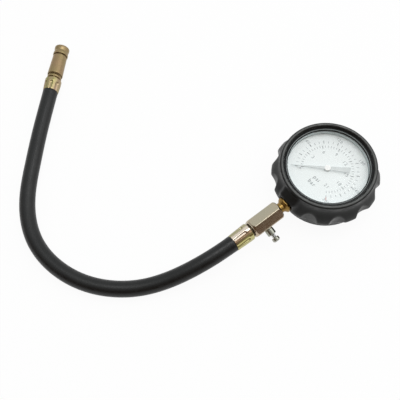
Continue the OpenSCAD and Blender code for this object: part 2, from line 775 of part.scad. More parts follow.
module near_ferrule() {
    color([0.72, 0.66, 0.4]) on_stem() translate([0, 0, near_mouth]) rotate([180, 0, 0])
        ferrule_form(near_ferrule_length);
}

module hose() {
    last = (len(route) - 1) * rings_per_span;
    places = [for (i = [0:last]) i / rings_per_span];
    radii = [for (i = [0:last]) i < 3 || i > last - 2 ? crimped_radius : hose_radius];
    outer = [for (i = [0:last]) each ring_at(route, places[i], radii[i], ring_sides)];
    inner = [for (i = [0:last]) each ring_at(route, places[i], hose_bore, ring_sides)];
    count = (last + 1) * ring_sides;
    walls = [for (i = [0:last - 1]) for (k = [0:ring_sides - 1]) let (n = (k + 1) % ring_sides)
        [i * ring_sides + k, (i + 1) * ring_sides + k, (i + 1) * ring_sides + n, i * ring_sides + n]];
    bores = [for (w = walls) [count + w[3], count + w[2], count + w[1], count + w[0]]];
    ends = [for (k = [0:ring_sides - 1]) let (n = (k + 1) % ring_sides, e = last * ring_sides) each [
        [k, n, count + n, count + k],
        [e + n, e + k, count + e + k, count + e + n]
    ]];
    color([0.09, 0.09, 0.1]) polyhedron(concat(outer, inner), concat(walls, bores, ends));
}

module far_ferrule() {
    color([0.72, 0.66, 0.4]) on_coupler() ferrule_form(far_ferrule_length);
}

module coupler_tail() {
    color([0.7, 0.6, 0.34]) on_coupler() difference() {
        union() {
            translate([0, 0, 1]) cylinder(r = barb_radius, h = far_ferrule_length);
            translate([0, 0, far_ferrule_length]) cylinder(r = 5, h = body_start - far_ferrule_length);
            translate([0, 0, tail_ring]) rotate_extrude() polygon([
                [0, 0], [5.6, 0], [6, 0.4], [6, 1.6], [5.6, 2], [0, 2]
            ]);
            translate([0, 0, body_start - 0.5])
                cylinder(r = spigot_radius, h = spigot_end - body_start + 0.5);
        }
        cylinder(r = nipple_bore, h = 40);
        translate([0, 0, spigot_end - 3]) cylinder(r = 2.3, h = 10);
    }
}

module coupler_body() {
    nose = coupler_length - nose_start;
    color([0.74, 0.66, 0.42]) on_coupler() difference() {
        union() {
            translate([0, 0, body_start]) cylinder(r = spring_bore - 0.3, h = 1.2);
            translate([0, 0, body_start + 1]) cylinder(r = body_radius, h = nose_start - body_start);
            translate([0, 0, nose_start]) rotate_extrude() polygon([
                [0, 0], [nose_radius - 0.3, 0], [nose_radius, 0.3], [nose_radius, nose * 0.2],
                [nose_radius - 0.3, nose * 0.32], [nose_radius - 0.42, nose * 0.45],
                [nose_radius - 0.3, nose * 0.6], [nose_radius, nose * 0.74], [nose_radius, nose - 1.4],
                [nose_radius - 0.25, nose - 0.75], [nose_radius - 0.75, nose - 0.25],
                [nose_radius - 1.4, nose], [0, nose]
            ]);
        }
        translate([0, 0, body_start - 1]) cylinder(r = spigot_radius + snug, h = spigot_end - body_start + 1);
        translate([0, 0, body_start]) cylinder(r = check_radius + snug, h = 12);
        translate([0, 0, barrel_top]) cylinder(r = socket_radius, h = 60);
        translate([0, 0, coupler_length - 0.6])
            cylinder(r1 = socket_radius, r2 = socket_radius + 0.7, h = 0.7);
        translate([0, 0, barrel_top + 3.4]) cylinder(r = socket_radius + 0.8, h = 1.6);
        translate([0, 0, ball_place - ball_relief]) cylinder(r = socket_radius + 0.3, h = 2 * ball_relief);
        for (k = [0:ball_count - 1]) rotate(360 * k / ball_count)
            translate([0, 0, ball_place]) rotate([0, 90, 0]) cylinder(r = ball_radius + run, h = 12);
    }
}

module coupler_sleeve() {
    color([0.78, 0.72, 0.5]) on_coupler() translate([0, 0, sleeve_start]) difference() {
        rotate_extrude() polygon([
            [0, 0], [sleeve_rear - 0.25, 0], [sleeve_rear, 0.25], [sleeve_rear, 1.6],
            [sleeve_front + 0.05, sleeve_length - 2], [sleeve_front, sleeve_length - 0.3],
            [sleeve_front - 0.3, sleeve_length], [0, sleeve_length]
        ]);
        translate([0, 0, -1]) cylinder(r = spring_bore, h = sleeve_step - sleeve_start + 1);
        cylinder(r = sleeve_bore, h = sleeve_length + 1);
    }
}

module sleeve_spring() {
    color([0.7, 0.7, 0.72]) on_coupler() translate([0, 0, body_start + 1.2])
        coil(5.42, 0.25, sleeve_step - body_start - 1.2, 5);
}

module lock_balls() {
    color([0.75, 0.75, 0.77]) on_coupler() for (k = [0:ball_count - 1]) rotate(360 * k / ball_count)
        translate([ball_ring, 0, ball_place]) sphere(r = ball_radius, $fn = 32);
}

module coupler_seal() {
    color([0.1, 0.1, 0.1]) on_coupler() translate([0, 0, barrel_top + 4.2]) rotate_extrude()
        translate([socket_radius + 0.05, 0]) circle(r = 0.7, $fn = 24);
}

module check_barrel() {
    color([0.8, 0.68, 0.4]) on_coupler() translate([0, 0, barrel_start])
        ring(pin_shaft + run, check_radius, barrel_top - barrel_start);
}

module check_pin() {
    color([0.72, 0.72, 0.74]) on_coupler() {
        translate([0, 0, barrel_start - 1.3]) cylinder(r = 1.9, h = 0.8);
        translate([0, 0, barrel_start - 0.8]) cylinder(r = pin_shaft, h = pin_top - barrel_start + 0.8);
        translate([0, 0, pin_top - 0.5]) cylinder(r = 1.4, h = 0.5);
    }
}

module check_spring() {
    color([0.7, 0.7, 0.72]) on_coupler() translate([0, 0, barrel_top])
        coil(1.1, 0.15, pin_top - 0.5 - barrel_top, 4);
}

rubber_boot();
case();
bezel_ring();
lens();
lens_gasket();
dial_plate();
stop_pin();
pointer();
pointer_hub();
lower_plate();
upper_plate();
plate_posts();
plate_screws();
pinion_arbor();
sector_gear();
sector_arbor();
hairspring();
bourdon_tube();
bourdon_tip();
tip_link();
stem_socket();
case_screws();
restrictor();
hex_adapter();
valve_body();
valve_button();
valve_seal();
valve_spring();
hose_nipple();
near_ferrule();
hose();
far_ferrule();
coupler_tail();
coupler_body();
coupler_sleeve();
sleeve_spring();
lock_balls();
coupler_seal();
check_barrel();
check_pin();
check_spring();
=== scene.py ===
"""Looks of a compression tester gauge: rubber boot, dial, brass adapter, release valve, hose and coupler.

Sizes are in millimetres, in the frame's own axes, and are made metres when a mesh is written.
"""

import math

import bpy
import numpy as np
from mathutils import Matrix, Vector


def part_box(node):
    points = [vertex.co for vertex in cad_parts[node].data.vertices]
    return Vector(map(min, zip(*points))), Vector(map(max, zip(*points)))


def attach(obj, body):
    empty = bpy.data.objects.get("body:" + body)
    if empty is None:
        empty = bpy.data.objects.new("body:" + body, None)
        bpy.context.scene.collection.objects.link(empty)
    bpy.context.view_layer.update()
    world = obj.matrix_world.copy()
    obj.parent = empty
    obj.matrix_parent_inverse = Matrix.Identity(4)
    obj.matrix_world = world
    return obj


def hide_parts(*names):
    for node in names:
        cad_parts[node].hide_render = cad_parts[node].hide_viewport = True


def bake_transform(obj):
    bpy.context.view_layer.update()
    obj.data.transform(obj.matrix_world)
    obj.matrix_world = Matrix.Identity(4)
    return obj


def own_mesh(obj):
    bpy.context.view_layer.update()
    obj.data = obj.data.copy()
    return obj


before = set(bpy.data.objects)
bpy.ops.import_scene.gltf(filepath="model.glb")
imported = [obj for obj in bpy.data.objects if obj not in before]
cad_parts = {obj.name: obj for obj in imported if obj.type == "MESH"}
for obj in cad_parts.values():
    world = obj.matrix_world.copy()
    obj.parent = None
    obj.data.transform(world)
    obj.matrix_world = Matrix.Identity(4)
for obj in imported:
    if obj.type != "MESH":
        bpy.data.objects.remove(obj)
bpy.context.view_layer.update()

MM = 0.001
TURN = 2 * math.pi


def corners(node):
    """Lowest and highest corner of a CAD node, in millimetres."""
    low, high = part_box(node)
    return np.array(low) / MM, np.array(high) / MM


def reach(node, origin, axis):
    """Least and greatest distance of a CAD node along an axis, and its greatest radius, in millimetres."""
    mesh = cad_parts[node].data
    points = np.zeros(len(mesh.vertices) * 3, np.float32)
    mesh.vertices.foreach_get("co", points)
    away = points.reshape(-1, 3) / MM - np.array(origin, float)
    along = away @ np.array(axis, float)
    across = away - along[:, None] * np.array(axis, float)
    return along.min(), along.max(), np.linalg.norm(across, axis=1).max()


# Sizes read from the frame
boot_high = corners("rubber_boot")[1]
bezel_low, bezel_high = corners("bezel_ring")
lens_low, lens_high = corners("lens")
dial_high = corners("dial_plate")[1]
pointer_low, pointer_high = corners("pointer")
hub_low, hub_high = corners("pointer_hub")
hex_low, hex_high = corners("hex_adapter")
near_low, near_high = corners("near_ferrule")

BOOT_HEIGHT = boot_high[2]
CASE_RADIUS = 31.5
BEZEL_RADIUS = bezel_high[0]
BEZEL_TOP = bezel_high[2]
OPENING_RADIUS = 30.2
DIAL_RADIUS = dial_high[0]
DIAL_TOP = dial_high[2]
STEM_HEIGHT = (hex_low[2] + hex_high[2]) / 2
HEX_FLATS = 14.0
HEX_TURN = math.radians(15)
HEX_START = -hex_high[1]
HEX_END = -hex_low[1]
VALVE_SETBACK = 15.0
VALVE_AT = np.array([0, hex_high[1] - VALVE_SETBACK, STEM_HEIGHT])
VALVE_AXIS = np.array([math.cos(HEX_TURN), 0, -math.sin(HEX_TURN)])
_, BARREL_END, VALVE_RADIUS = reach("valve_body", VALVE_AT, VALVE_AXIS)
_, BUTTON_END, BUTTON_RADIUS = reach("valve_button", VALVE_AT, VALVE_AXIS)
BUTTON_GAP = 2.6
NEAR_START = -near_high[1]
NEAR_MOUTH = -near_low[1]
ZERO_ANGLE = math.radians(225)
FULL_SWEEP = math.radians(270)


# Camera, at the photograph's place
CAMERA_PLACE = Vector((0.1107, -0.1881, 0.4250))
CAMERA_ELEVATION = math.radians(65.8)
CAMERA_HEADING = math.radians(56.9)
CAMERA_ROLL = math.radians(-4.9)
CAMERA_LENS = 53.19
SENSOR_WIDTH = 36


def place_camera():
    """Camera matrix from heading, elevation and roll: forward, right and up are worked out as unit vectors."""
    e, h = CAMERA_ELEVATION, CAMERA_HEADING
    forward = Vector((-math.sin(h) * math.cos(e), math.cos(h) * math.cos(e), -math.sin(e)))
    right = Vector((math.cos(h), math.sin(h), 0))
    up = right.cross(forward)
    turned_right = math.cos(CAMERA_ROLL) * right + math.sin(CAMERA_ROLL) * up
    turned_up = -math.sin(CAMERA_ROLL) * right + math.cos(CAMERA_ROLL) * up
    lens = bpy.data.cameras.new("camera")
    lens.lens = CAMERA_LENS
    lens.sensor_width = SENSOR_WIDTH
    camera = bpy.data.objects.new("camera", lens)
    columns = Matrix((turned_right, turned_up, -forward)).transposed()
    camera.matrix_world = Matrix.Translation(CAMERA_PLACE) @ columns.to_4x4()
    bpy.context.scene.collection.objects.link(camera)
    bpy.context.scene.camera = camera


place_camera()


# Meshes from grids
def linked(name, mesh, finish):
    """An object in the scene for a mesh, with one finish."""
    mesh.materials.clear()
    mesh.materials.append(finish)
    mesh.update()
    piece = bpy.data.objects.new(name, mesh)
    bpy.context.scene.collection.objects.link(piece)
    return piece


def skin(name, grid, finish, around=True, along=False):
    """A mesh over a grid of points, rows by columns, in millimetres.

    Each cell becomes one face. around joins the last column to the first and along the last row to the
    first. A row whose points all coincide is a pole, and its cells are triangles.
    """
    rows, columns = grid.shape[:2]
    index = np.arange(rows * columns).reshape(rows, columns)
    pole = np.ptp(grid, axis=1).max(axis=1) < 1e-6
    index[pole] = index[pole][:, :1]
    if along:
        index = np.vstack([index, index[:1]])
    if around:
        index = np.hstack([index, index[:, :1]])
    quads = np.stack([index[:-1, :-1], index[:-1, 1:], index[1:, 1:], index[1:, :-1]], axis=-1)
    quads = quads.reshape(-1, 4)
    first_flat = quads[:, 0] == quads[:, 1]
    last_flat = quads[:, 2] == quads[:, 3]
    faces = quads[~first_flat & ~last_flat].tolist()
    faces += quads[first_flat & ~last_flat][:, 1:].tolist()
    faces += quads[last_flat & ~first_flat][:, :3].tolist()
    used = np.zeros(rows * columns, bool)
    used[index] = True
    place = np.cumsum(used) - 1
    mesh = bpy.data.meshes.new(name)
    points = grid.reshape(-1, 3)[used] * MM
    mesh.from_pydata(points, [], [[int(place[i]) for i in face] for face in faces])
    mesh.polygons.foreach_set("use_smooth", np.ones(len(mesh.polygons), bool))
    return linked(name, mesh, finish)


def closed_ends(grid):
    """The grid with both its ends drawn to a point in the middle of the first and of the last row."""
    first, last = (np.repeat(row.mean(1, keepdims=True), grid.shape[1], 1) for row in (grid[:1], grid[-1:]))
    return np.concatenate([first, grid, last])


def round_angles(columns):
    """Even angles round a full turn."""
    return np.linspace(0, TURN, columns, endpoint=False)


ARC_ROOM = 0.48
STRAIGHT = 0.02


def softened(points, steps=7, hold=0.04):
    """An outline whose corners are arcs.

    Each point is (along, radius, fillet). At a corner with a fillet the outline is cut back by the fillet
    times the tangent of half its turn, at most by a share of the shorter side, and an arc of that radius joins
    the two cuts. A point is kept just outside each arc, so that flat stretches stay flat.
    """
    flat = np.array([p[:2] for p in points], float)
    out = [flat[0]]
    for i in range(1, len(points) - 1):
        fillet = points[i][2] if len(points[i]) > 2 else 0
        before, here, after = flat[i - 1], flat[i], flat[i + 1]
        a = (before - here) / np.linalg.norm(before - here)
        b = (after - here) / np.linalg.norm(after - here)
        turn = math.acos(np.clip(-a @ b, -1, 1))
        if fillet <= 0 or turn < STRAIGHT:
            out.append(here)
            continue
        room = ARC_ROOM * min(np.linalg.norm(before - here), np.linalg.norm(after - here))
        cut = min(fillet * math.tan(turn / 2), room)
        radius = cut / math.tan(turn / 2)
        middle = (a + b) / np.linalg.norm(a + b)
        centre = here + middle * radius / math.cos(turn / 2)
        start, stop = here + a * cut - centre, here + b * cut - centre
        shares = np.linspace(0, 1, steps)[:, None]
        arc = (np.sin((1 - shares) * turn) * start + np.sin(shares * turn) * stop) / math.sin(turn)
        out.append(here + a * min(cut + hold, 2 * room))
        out.extend(centre + arc)
        out.append(here + b * min(cut + hold, 2 * room))
    out.append(flat[-1])
    return np.array(out)


def axis_frame(origin, direction, upward=(0, 0, 1)):
    """Origin, two unit vectors across an axis and the axis itself, right-handed."""
    axis = np.array(direction, float) / np.linalg.norm(direction)
    first = np.array(upward, float) - (np.array(upward, float) @ axis) * axis
    first /= np.linalg.norm(first)
    return np.array(origin, float), first, np.cross(axis, first), axis


def around_axis(place, along, radius, angle):
    """Points at a distance along an axis, a radius from it and an angle round it, as one array.

    Columns of distances and radii meet a row of angles as a grid.
    """
    origin, first, second, axis = place
    spoke = np.cos(angle)[..., None] * first + np.sin(angle)[..., None] * second
    return origin + along[..., None] * axis + radius[..., None] * spoke


def turned(name, place, outline, finish, columns=96, closed=False):
    """A turned piece: the outline (along, radius) carried round an axis."""
    grid = around_axis(place, outline[:, :1], outline[:, 1:2], round_angles(columns))
    return skin(name, grid, finish, along=closed)


def soft_min(a, b, blend):
    """The smaller of two arrays, with the crease between them rounded over a width of blend."""
    share = np.clip(0.5 + 0.5 * (b - a) / blend, 0, 1)
    return b + (a - b) * share - blend * share * (1 - share)


NO_CUT = 60.0


def hollow_radius(centre, square, off):
    """Radius of a round hollow in a wall, at an angle d from its middle: C cos d - sqrt(s^2 - C^2 sin^2 d).

    C is the distance of the hollow's centre from the axis and s its own radius, given as its square. Beside the
    hollow the radius lies past every wall, so that nothing is cut.
    """
    under = square - (centre * np.sin(off)) ** 2
    return np.where(under > 0, centre * np.cos(off) - np.sqrt(np.maximum(under, 0)), NO_CUT)


def smooth_step(share):
    """A share held between 0 and 1 and eased at both ends."""
    share = np.clip(share, 0, 1)
    return share * share * (3 - 2 * share)


def seat(piece, body, slot, *nodes):
    """The piece rides on a body and stands for CAD nodes. Its slot argument is not used."""
    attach(piece, body)
    if nodes:
        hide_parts(*nodes)
    return piece


# Finishes
def new_finish(name, sockets):
    """A material with constant values set on its shader's own sockets."""
    finish = bpy.data.materials.new(name)
    finish.use_nodes = True
    shader = finish.node_tree.nodes["Principled BSDF"]
    for socket, value in sockets.items():
        shader.inputs[socket].default_value = value
    return finish, finish.node_tree, shader


def add(tree, kind, settings=(), inputs=()):
    """One node with its settings and its input values."""
    node = tree.nodes.new(kind)
    for key, value in settings:
        setattr(node, key, value)
    for key, value in inputs:
        node.inputs[key].default_value = value
    return node


def pattern(tree, scale, detail=3.0, stretch=(1, 1, 1), turn=0.0):
    """Noise on the piece's own coordinates, turned about Z and drawn out by stretch. scale is in cells per
    metre."""
    place = add(tree, "ShaderNodeTexCoord")
    mapping = add(tree, "ShaderNodeMapping", [("vector_type", "TEXTURE")], [
        ("Scale", stretch), ("Rotation", (0, 0, turn))])
    noise = add(tree, "ShaderNodeTexNoise", inputs=[("Scale", scale), ("Detail", detail)])
    tree.links.new(place.outputs["Object"], mapping.inputs["Vector"])
    tree.links.new(mapping.outputs["Vector"], noise.inputs["Vector"])
    return noise.outputs["Fac"]


def ramp(tree, source, stops):
    """Colour stops along a value."""
    node = add(tree, "ShaderNodeValToRGB")
    stop_list = node.color_ramp.elements
    while len(stop_list) < len(stops):
        stop_list.new(0.5)
    for element, (position, colour) in zip(stop_list, stops):
        element.position = position
        element.color = (*colour, 1)
    tree.links.new(source, node.inputs["Fac"])
    return node.outputs["Color"]


def spread(tree, source, low, high, start=0.3, stop=0.7):
    """A value moved from the range start to stop into the range low to high."""
    node = add(tree, "ShaderNodeMapRange", inputs=[
        ("From Min", start), ("From Max", stop), ("To Min", low), ("To Max", high)])
    tree.links.new(source, node.inputs["Value"])
    return node.outputs["Result"]


def relief(tree, shader, height, strength, distance):
    """Bump from a height value."""
    node = add(tree, "ShaderNodeBump", inputs=[("Strength", strength), ("Distance", distance)])
    tree.links.new(height, node.inputs["Height"])
    tree.links.new(node.outputs["Normal"], shader.inputs["Normal"])


def rubbed_ring(tree, height, inner, outer):
    """Share of a painted highlight: 1 on the ring between two radii above a height, all in millimetres, with a fade
    on both sides and nothing below that height."""
    fade, edge = 0.5, 0.1
    place = add(tree, "ShaderNodeTexCoord")
    parts = add(tree, "ShaderNodeSeparateXYZ")
    tree.links.new(place.outputs["Object"], parts.inputs["Vector"])
    away = from_axis(tree)
    limits = [
        spread(tree, parts.outputs["Z"], 0, 1, (height - edge) * MM, height * MM),
        spread(tree, away, 0, 1, (inner - fade) * MM, inner * MM),
        spread(tree, away, 1, 0, outer * MM, (outer + fade) * MM),
    ]
    share = limits[0]
    for limit in limits[1:]:
        both = add(tree, "ShaderNodeMath", [("operation", "MULTIPLY")])
        tree.links.new(share, both.inputs[0])
        tree.links.new(limit, both.inputs[1])
        share = both.outputs[0]
    return share


def rubber(name, dark, light, rough, grain, gloss=0.4, highlight_ring=None):
    """Matt rubber: slow cloudy tone, uneven gloss and a fine moulded grain.

    The last argument gives a height and two radii in millimetres, between which the rubber turns to a grey that is a
    painted highlight.
    """
    finish, tree, shader = new_finish(name, {"Specular IOR Level": gloss})
    tone = ramp(tree, pattern(tree, 90, 5), [(0.3, dark), (0.7, light)])
    if highlight_ring:
        # Painted highlight: a grey ring in place of light on a rounded edge.
        grey = ramp(tree, pattern(tree, 150, 4), [
            (0.3, (0.06, 0.062, 0.061)), (0.7, (0.12, 0.123, 0.12))])
        mix = add(tree, "ShaderNodeMix", [("data_type", "RGBA")])
        tree.links.new(rubbed_ring(tree, *highlight_ring), mix.inputs["Factor"])
        tree.links.new(tone, mix.inputs["A"])
        tree.links.new(grey, mix.inputs["B"])
        tone = mix.outputs["Result"]
    tree.links.new(tone, shader.inputs["Base Color"])
    tree.links.new(spread(tree, pattern(tree, 260, 3), rough - 0.06, rough + 0.08), shader.inputs["Roughness"])
    relief(tree, shader, pattern(tree, grain, 2), 0.25, 0.00006)
    return finish


def metal(name, stops, rough, cloud=160, mark=0.12, stretch=(1, 1, 1), turn=0.0):
    """Bare or plated metal: its hue drifts in clouds, drawn out along the piece where stretch says so, its gloss
    is uneven, and mark gives the depth of fine tool marks."""
    finish, tree, shader = new_finish(name, {"Metallic": 1.0})
    tree.links.new(ramp(tree, pattern(tree, cloud, 4, stretch, turn), stops), shader.inputs["Base Color"])
    tree.links.new(spread(tree, pattern(tree, 300, 3), rough * 0.88, rough * 1.14), shader.inputs["Roughness"])
    if mark:
        relief(tree, shader, pattern(tree, 260, 2), mark, 0.00004)
    return finish


def banded_zinc():
    """Yellow zinc plating on the near ferrule: its hue changes across the piece, along X, in uneven bands that
    run along it. The olive and yellow bands are the plating's own hue; the pale pink bands are a painted highlight
    and the dark brown bands a painted reflection."""
    finish, tree, shader = new_finish("yellow_zinc", {"Metallic": 1.0})
    place = add(tree, "ShaderNodeTexCoord")
    parts = add(tree, "ShaderNodeSeparateXYZ")
    across = add(tree, "ShaderNodeMath", [("operation", "MULTIPLY_ADD")], [(1, 0.004)])
    tree.links.new(place.outputs["Object"], parts.inputs["Vector"])
    tree.links.new(pattern(tree, 260, 4, (1, 8, 1)), across.inputs[0])
    tree.links.new(parts.outputs["X"], across.inputs[2])
    share = spread(tree, across.outputs[0], 0, 1, -0.0055, 0.0095)
    # Pale pink stops are a painted highlight and dark brown stops a painted reflection; olive and yellow stops are
    # the plating's hue.
    tree.links.new(ramp(tree, share, [
        (0.05, (0.42, 0.37, 0.28)), (0.2, (0.38, 0.35, 0.2)), (0.34, (0.74, 0.64, 0.54)),
        (0.53, (0.85, 0.75, 0.63)), (0.62, (0.24, 0.15, 0.09)), (0.72, (0.3, 0.2, 0.12)),
        (0.82, (0.58, 0.54, 0.23)), (0.95, (0.45, 0.42, 0.22))]), shader.inputs["Base Color"])
    tree.links.new(spread(tree, pattern(tree, 300, 3), 0.12, 0.16), shader.inputs["Roughness"])
    relief(tree, shader, pattern(tree, 260, 2), 0.03, 0.00004)
    return finish


def orange_peel(tree, shader, rough):
    """The uneven gloss and the fine relief of a painted surface."""
    tree.links.new(spread(tree, pattern(tree, 900, 2), rough * 0.85, rough * 1.15), shader.inputs["Roughness"])
    relief(tree, shader, pattern(tree, 1500, 2), 0.05, 0.00003)


def paint(name, colour, rough, cloud=120, drift=0.12):
    """Smooth paint or print: one colour with a slight drift, and a fine orange-peel relief."""
    finish, tree, shader = new_finish(name, {"Specular IOR Level": 0.5})
    low = tuple(c * (1 - drift) for c in colour)
    tree.links.new(ramp(tree, pattern(tree, cloud, 4), [(0.3, low), (0.7, colour)]), shader.inputs["Base Color"])
    orange_peel(tree, shader, rough)
    return finish


def from_axis(tree):
    """Distance of a point from the gauge's own axis, with a slight unevenness, in metres."""
    place = add(tree, "ShaderNodeTexCoord")
    flat = add(tree, "ShaderNodeVectorMath", [("operation", "MULTIPLY")], [(1, (1, 1, 0))])
    away = add(tree, "ShaderNodeVectorMath", [("operation", "LENGTH")])
    uneven = add(tree, "ShaderNodeMath", [("operation", "MULTIPLY_ADD")], [(1, 0.0002)])
    tree.links.new(place.outputs["Object"], flat.inputs[0])
    tree.links.new(flat.outputs["Vector"], away.inputs[0])
    tree.links.new(pattern(tree, 700, 2), uneven.inputs[0])
    tree.links.new(away.outputs["Value"], uneven.inputs[2])
    return uneven.outputs[0]


def ringed(name, start, stop, stops, rough, gloss):
    """Paint whose colour changes with the distance from the gauge's axis, between two radii in millimetres."""
    finish, tree, shader = new_finish(name, {"Specular IOR Level": gloss})
    share = spread(tree, from_axis(tree), 0, 1, start * MM, stop * MM)
    tree.links.new(ramp(tree, share, stops), shader.inputs["Base Color"])
    orange_peel(tree, shader, rough)
    return finish


def lens_clear():
    """Clear lens with a thin pale veil and a slightly uneven gloss."""
    finish, tree, shader = new_finish("lens_clear", {
        "Base Color": (0.86, 0.92, 0.92, 1), "Alpha": 0.03, "Specular IOR Level": 0.5})
    tree.links.new(spread(tree, pattern(tree, 60, 3), 0.05, 0.1), shader.inputs["Roughness"])
    finish.surface_render_method = "BLENDED"
    return finish


BLACK = (0.006, 0.0065, 0.007)
PALE = (0.75, 0.84, 0.86)
# Grey of a painted highlight on the bezel's inner edge.
PAINTED_HIGHLIGHT = (0.24, 0.265, 0.265)
# The boot's lip crest carries a painted highlight ring.
boot_rubber = rubber("boot_rubber", (0.0036, 0.0042, 0.0040), (0.0072, 0.0086, 0.0081), 0.36, 2600, 0.28,
                     (BOOT_HEIGHT - 0.6, CASE_RADIUS + 2.5, CASE_RADIUS + 3.3))
hose_rubber = rubber("hose_rubber", (0.0035, 0.0037, 0.0038), (0.0065, 0.0069, 0.0069), 0.36, 3200, 0.36)
seal_rubber = rubber("seal_rubber", (0.01, 0.01, 0.01), (0.016, 0.016, 0.016), 0.6, 3000)
# Black bezel paint with a painted highlight ring at its inner edge.
bezel_black = ringed("bezel_black", 30, 33, [
    (0.3, BLACK), (0.36, PAINTED_HIGHLIGHT), (0.43, PAINTED_HIGHLIGHT), (0.5, BLACK)], 0.24, 0.12)
case_paint = ringed("case_paint", 30, 33, [(0.38, PALE), (0.42, BLACK)], 0.35, 0.4)
gasket_pale = paint("gasket_pale", (0.7, 0.79, 0.81), 0.6)
dial_white = paint("dial_white", (0.84, 0.88, 0.88), 0.5, cloud=40, drift=0.02)
ink_grey = paint("ink_grey", (0.34, 0.37, 0.38), 0.6)
ink_units = paint("ink_units", (0.2, 0.23, 0.24), 0.6)
ink_dark = paint("ink_dark", (0.42, 0.45, 0.46), 0.6)
ink_red = paint("ink_red", (0.66, 0.34, 0.32), 0.6)
pointer_grey = paint("pointer_grey", (0.65, 0.69, 0.69), 0.45)
hub_white = paint("hub_white", (0.9, 0.9, 0.89), 0.35, drift=0.03)
stem_brass = metal("stem_brass", [(0.3, (0.22, 0.13, 0.036)), (0.7, (0.3, 0.19, 0.058))], 0.3)
adapter_brass = metal("adapter_brass", [
    (0.3, (0.43, 0.405, 0.315)), (0.55, (0.47, 0.405, 0.305)), (0.75, (0.47, 0.365, 0.28))], 0.2, 50, 0.01)
yellow_zinc = banded_zinc()
coupler_zinc = metal("coupler_zinc", [
    (0.3, (0.285, 0.225, 0.108)), (0.5, (0.305, 0.225, 0.118)), (0.7, (0.325, 0.22, 0.13))], 0.36, 90, 0.03)
far_zinc = metal("far_zinc", [
    (0.34, (0.31, 0.29, 0.115)), (0.5, (0.365, 0.29, 0.16)), (0.66, (0.39, 0.28, 0.195))], 0.26, 320, 0.03,
    (1, 10, 1), math.radians(45))
nickel = metal("nickel", [(0.3, (0.29, 0.295, 0.245)), (0.7, (0.37, 0.37, 0.325))], 0.08, 160, 0.02)
bright_steel = metal("bright_steel", [(0.3, (0.56, 0.56, 0.57)), (0.7, (0.7, 0.7, 0.71))], 0.25)
brass = metal("brass", [(0.3, (0.62, 0.44, 0.16)), (0.7, (0.76, 0.58, 0.26))], 0.28)
bronze = metal("bronze", [(0.3, (0.5, 0.3, 0.13)), (0.7, (0.64, 0.42, 0.2))], 0.3)
dark_nipple = metal("dark_nipple", [(0.3, (0.05, 0.04, 0.025)), (0.7, (0.09, 0.07, 0.045))], 0.4)
clear_lens = lens_clear()


# Hose route, as in the part's source
ROUTE = np.array([
    [0, -78, 18], [0, -100, 18], [-3, -122, 15], [-9, -143, 9], [-18, -164, 6.4], [-33, -183, 6.2],
    [-52, -197, 6.2], [-75, -205, 6.2], [-98, -206, 6.2], [-120, -199, 6.2], [-139, -187, 6.2],
    [-157, -171, 6.2], [-175, -155, 6.2], [-193, -137, 7.2], [-212, -118, 7.2],
], float)
HOSE_RADIUS = 6.15
HOSE_INSIDE = 2.6
HOSE_PINCH = 0.5
BULGE_HEIGHT, BULGE_AT, BULGE_WIDTH = 0.1, 4.2, 1.4
RIPPLE_HEIGHT, RIPPLE_STEP = 0.012, 2.4
COUPLER_AT = np.array([-206, -124, 7.2])
COUPLER_AXIS = np.array([-math.sqrt(0.5), math.sqrt(0.5), 0])


def along_route(u):
    """Points of the cubic B-spline that the route's points steer, with a reflected point past both ends."""
    first = 2 * ROUTE[0] - ROUTE[1]
    last = 2 * ROUTE[-1] - ROUTE[-2]
    control = np.vstack([first, ROUTE, last])
    cell = np.minimum(u.astype(int), len(ROUTE) - 2)
    t = (u - cell)[:, None]
    weights = [(1 - t) ** 3, 3 * t ** 3 - 6 * t ** 2 + 4, -3 * t ** 3 + 3 * t ** 2 + 3 * t + 1, t ** 3]
    return sum(w * control[cell + k] for k, w in enumerate(weights)) / 6


def hose_line(step=0.8):
    """The hose's centre line from just inside one ferrule to just inside the other, evenly spaced, and the
    distance gone at each point."""
    dense = along_route(np.linspace(0, len(ROUTE) - 1, 8000))
    past_start = -dense[:, 1] >= NEAR_MOUTH - HOSE_INSIDE
    before_end = (dense - COUPLER_AT) @ COUPLER_AXIS <= HOSE_INSIDE
    dense = dense[past_start & before_end]
    gone = np.concatenate([[0], np.cumsum(np.linalg.norm(np.diff(dense, axis=0), axis=1))])
    even = np.linspace(0, gone[-1], int(gone[-1] / step) + 1)
    line = np.stack([np.interp(even, gone, dense[:, k]) for k in range(3)], axis=1)
    return line, even


def hose():
    """A tube round the centre line: at each point a circle square to the line, drawn in a little inside the two
    ferrules and swollen just past them, with a low ripple along it from the wrapping of the rubber while it cured."""
    line, gone = hose_line()
    heading = np.gradient(line, axis=0)
    heading /= np.linalg.norm(heading, axis=1)[:, None]
    side = np.cross(heading, [0, 0, 1])
    side /= np.linalg.norm(side, axis=1)[:, None]
    upward = np.cross(side, heading)
    angle = round_angles(56)[None, :, None]
    edge = np.minimum(gone, gone[-1] - gone)
    pinch = HOSE_PINCH * (1 - np.clip(edge / HOSE_INSIDE, 0, 1) ** 2)
    bulge = BULGE_HEIGHT * np.exp(-((edge - BULGE_AT) / BULGE_WIDTH) ** 2)
    ripple = RIPPLE_HEIGHT * np.sin(gone * TURN / RIPPLE_STEP)
    radius = HOSE_RADIUS - pinch + bulge + ripple
    ring = np.cos(angle) * upward[:, None] + np.sin(angle) * side[:, None]
    grid = line[:, None] + radius[:, None, None] * ring
    piece = seat(skin("hose_tube", closed_ends(grid), hose_rubber), "gauge", "hose_rubber", "hose")
    return piece, line, gone[-1]


hose_tube, hose_path, hose_length = hose()


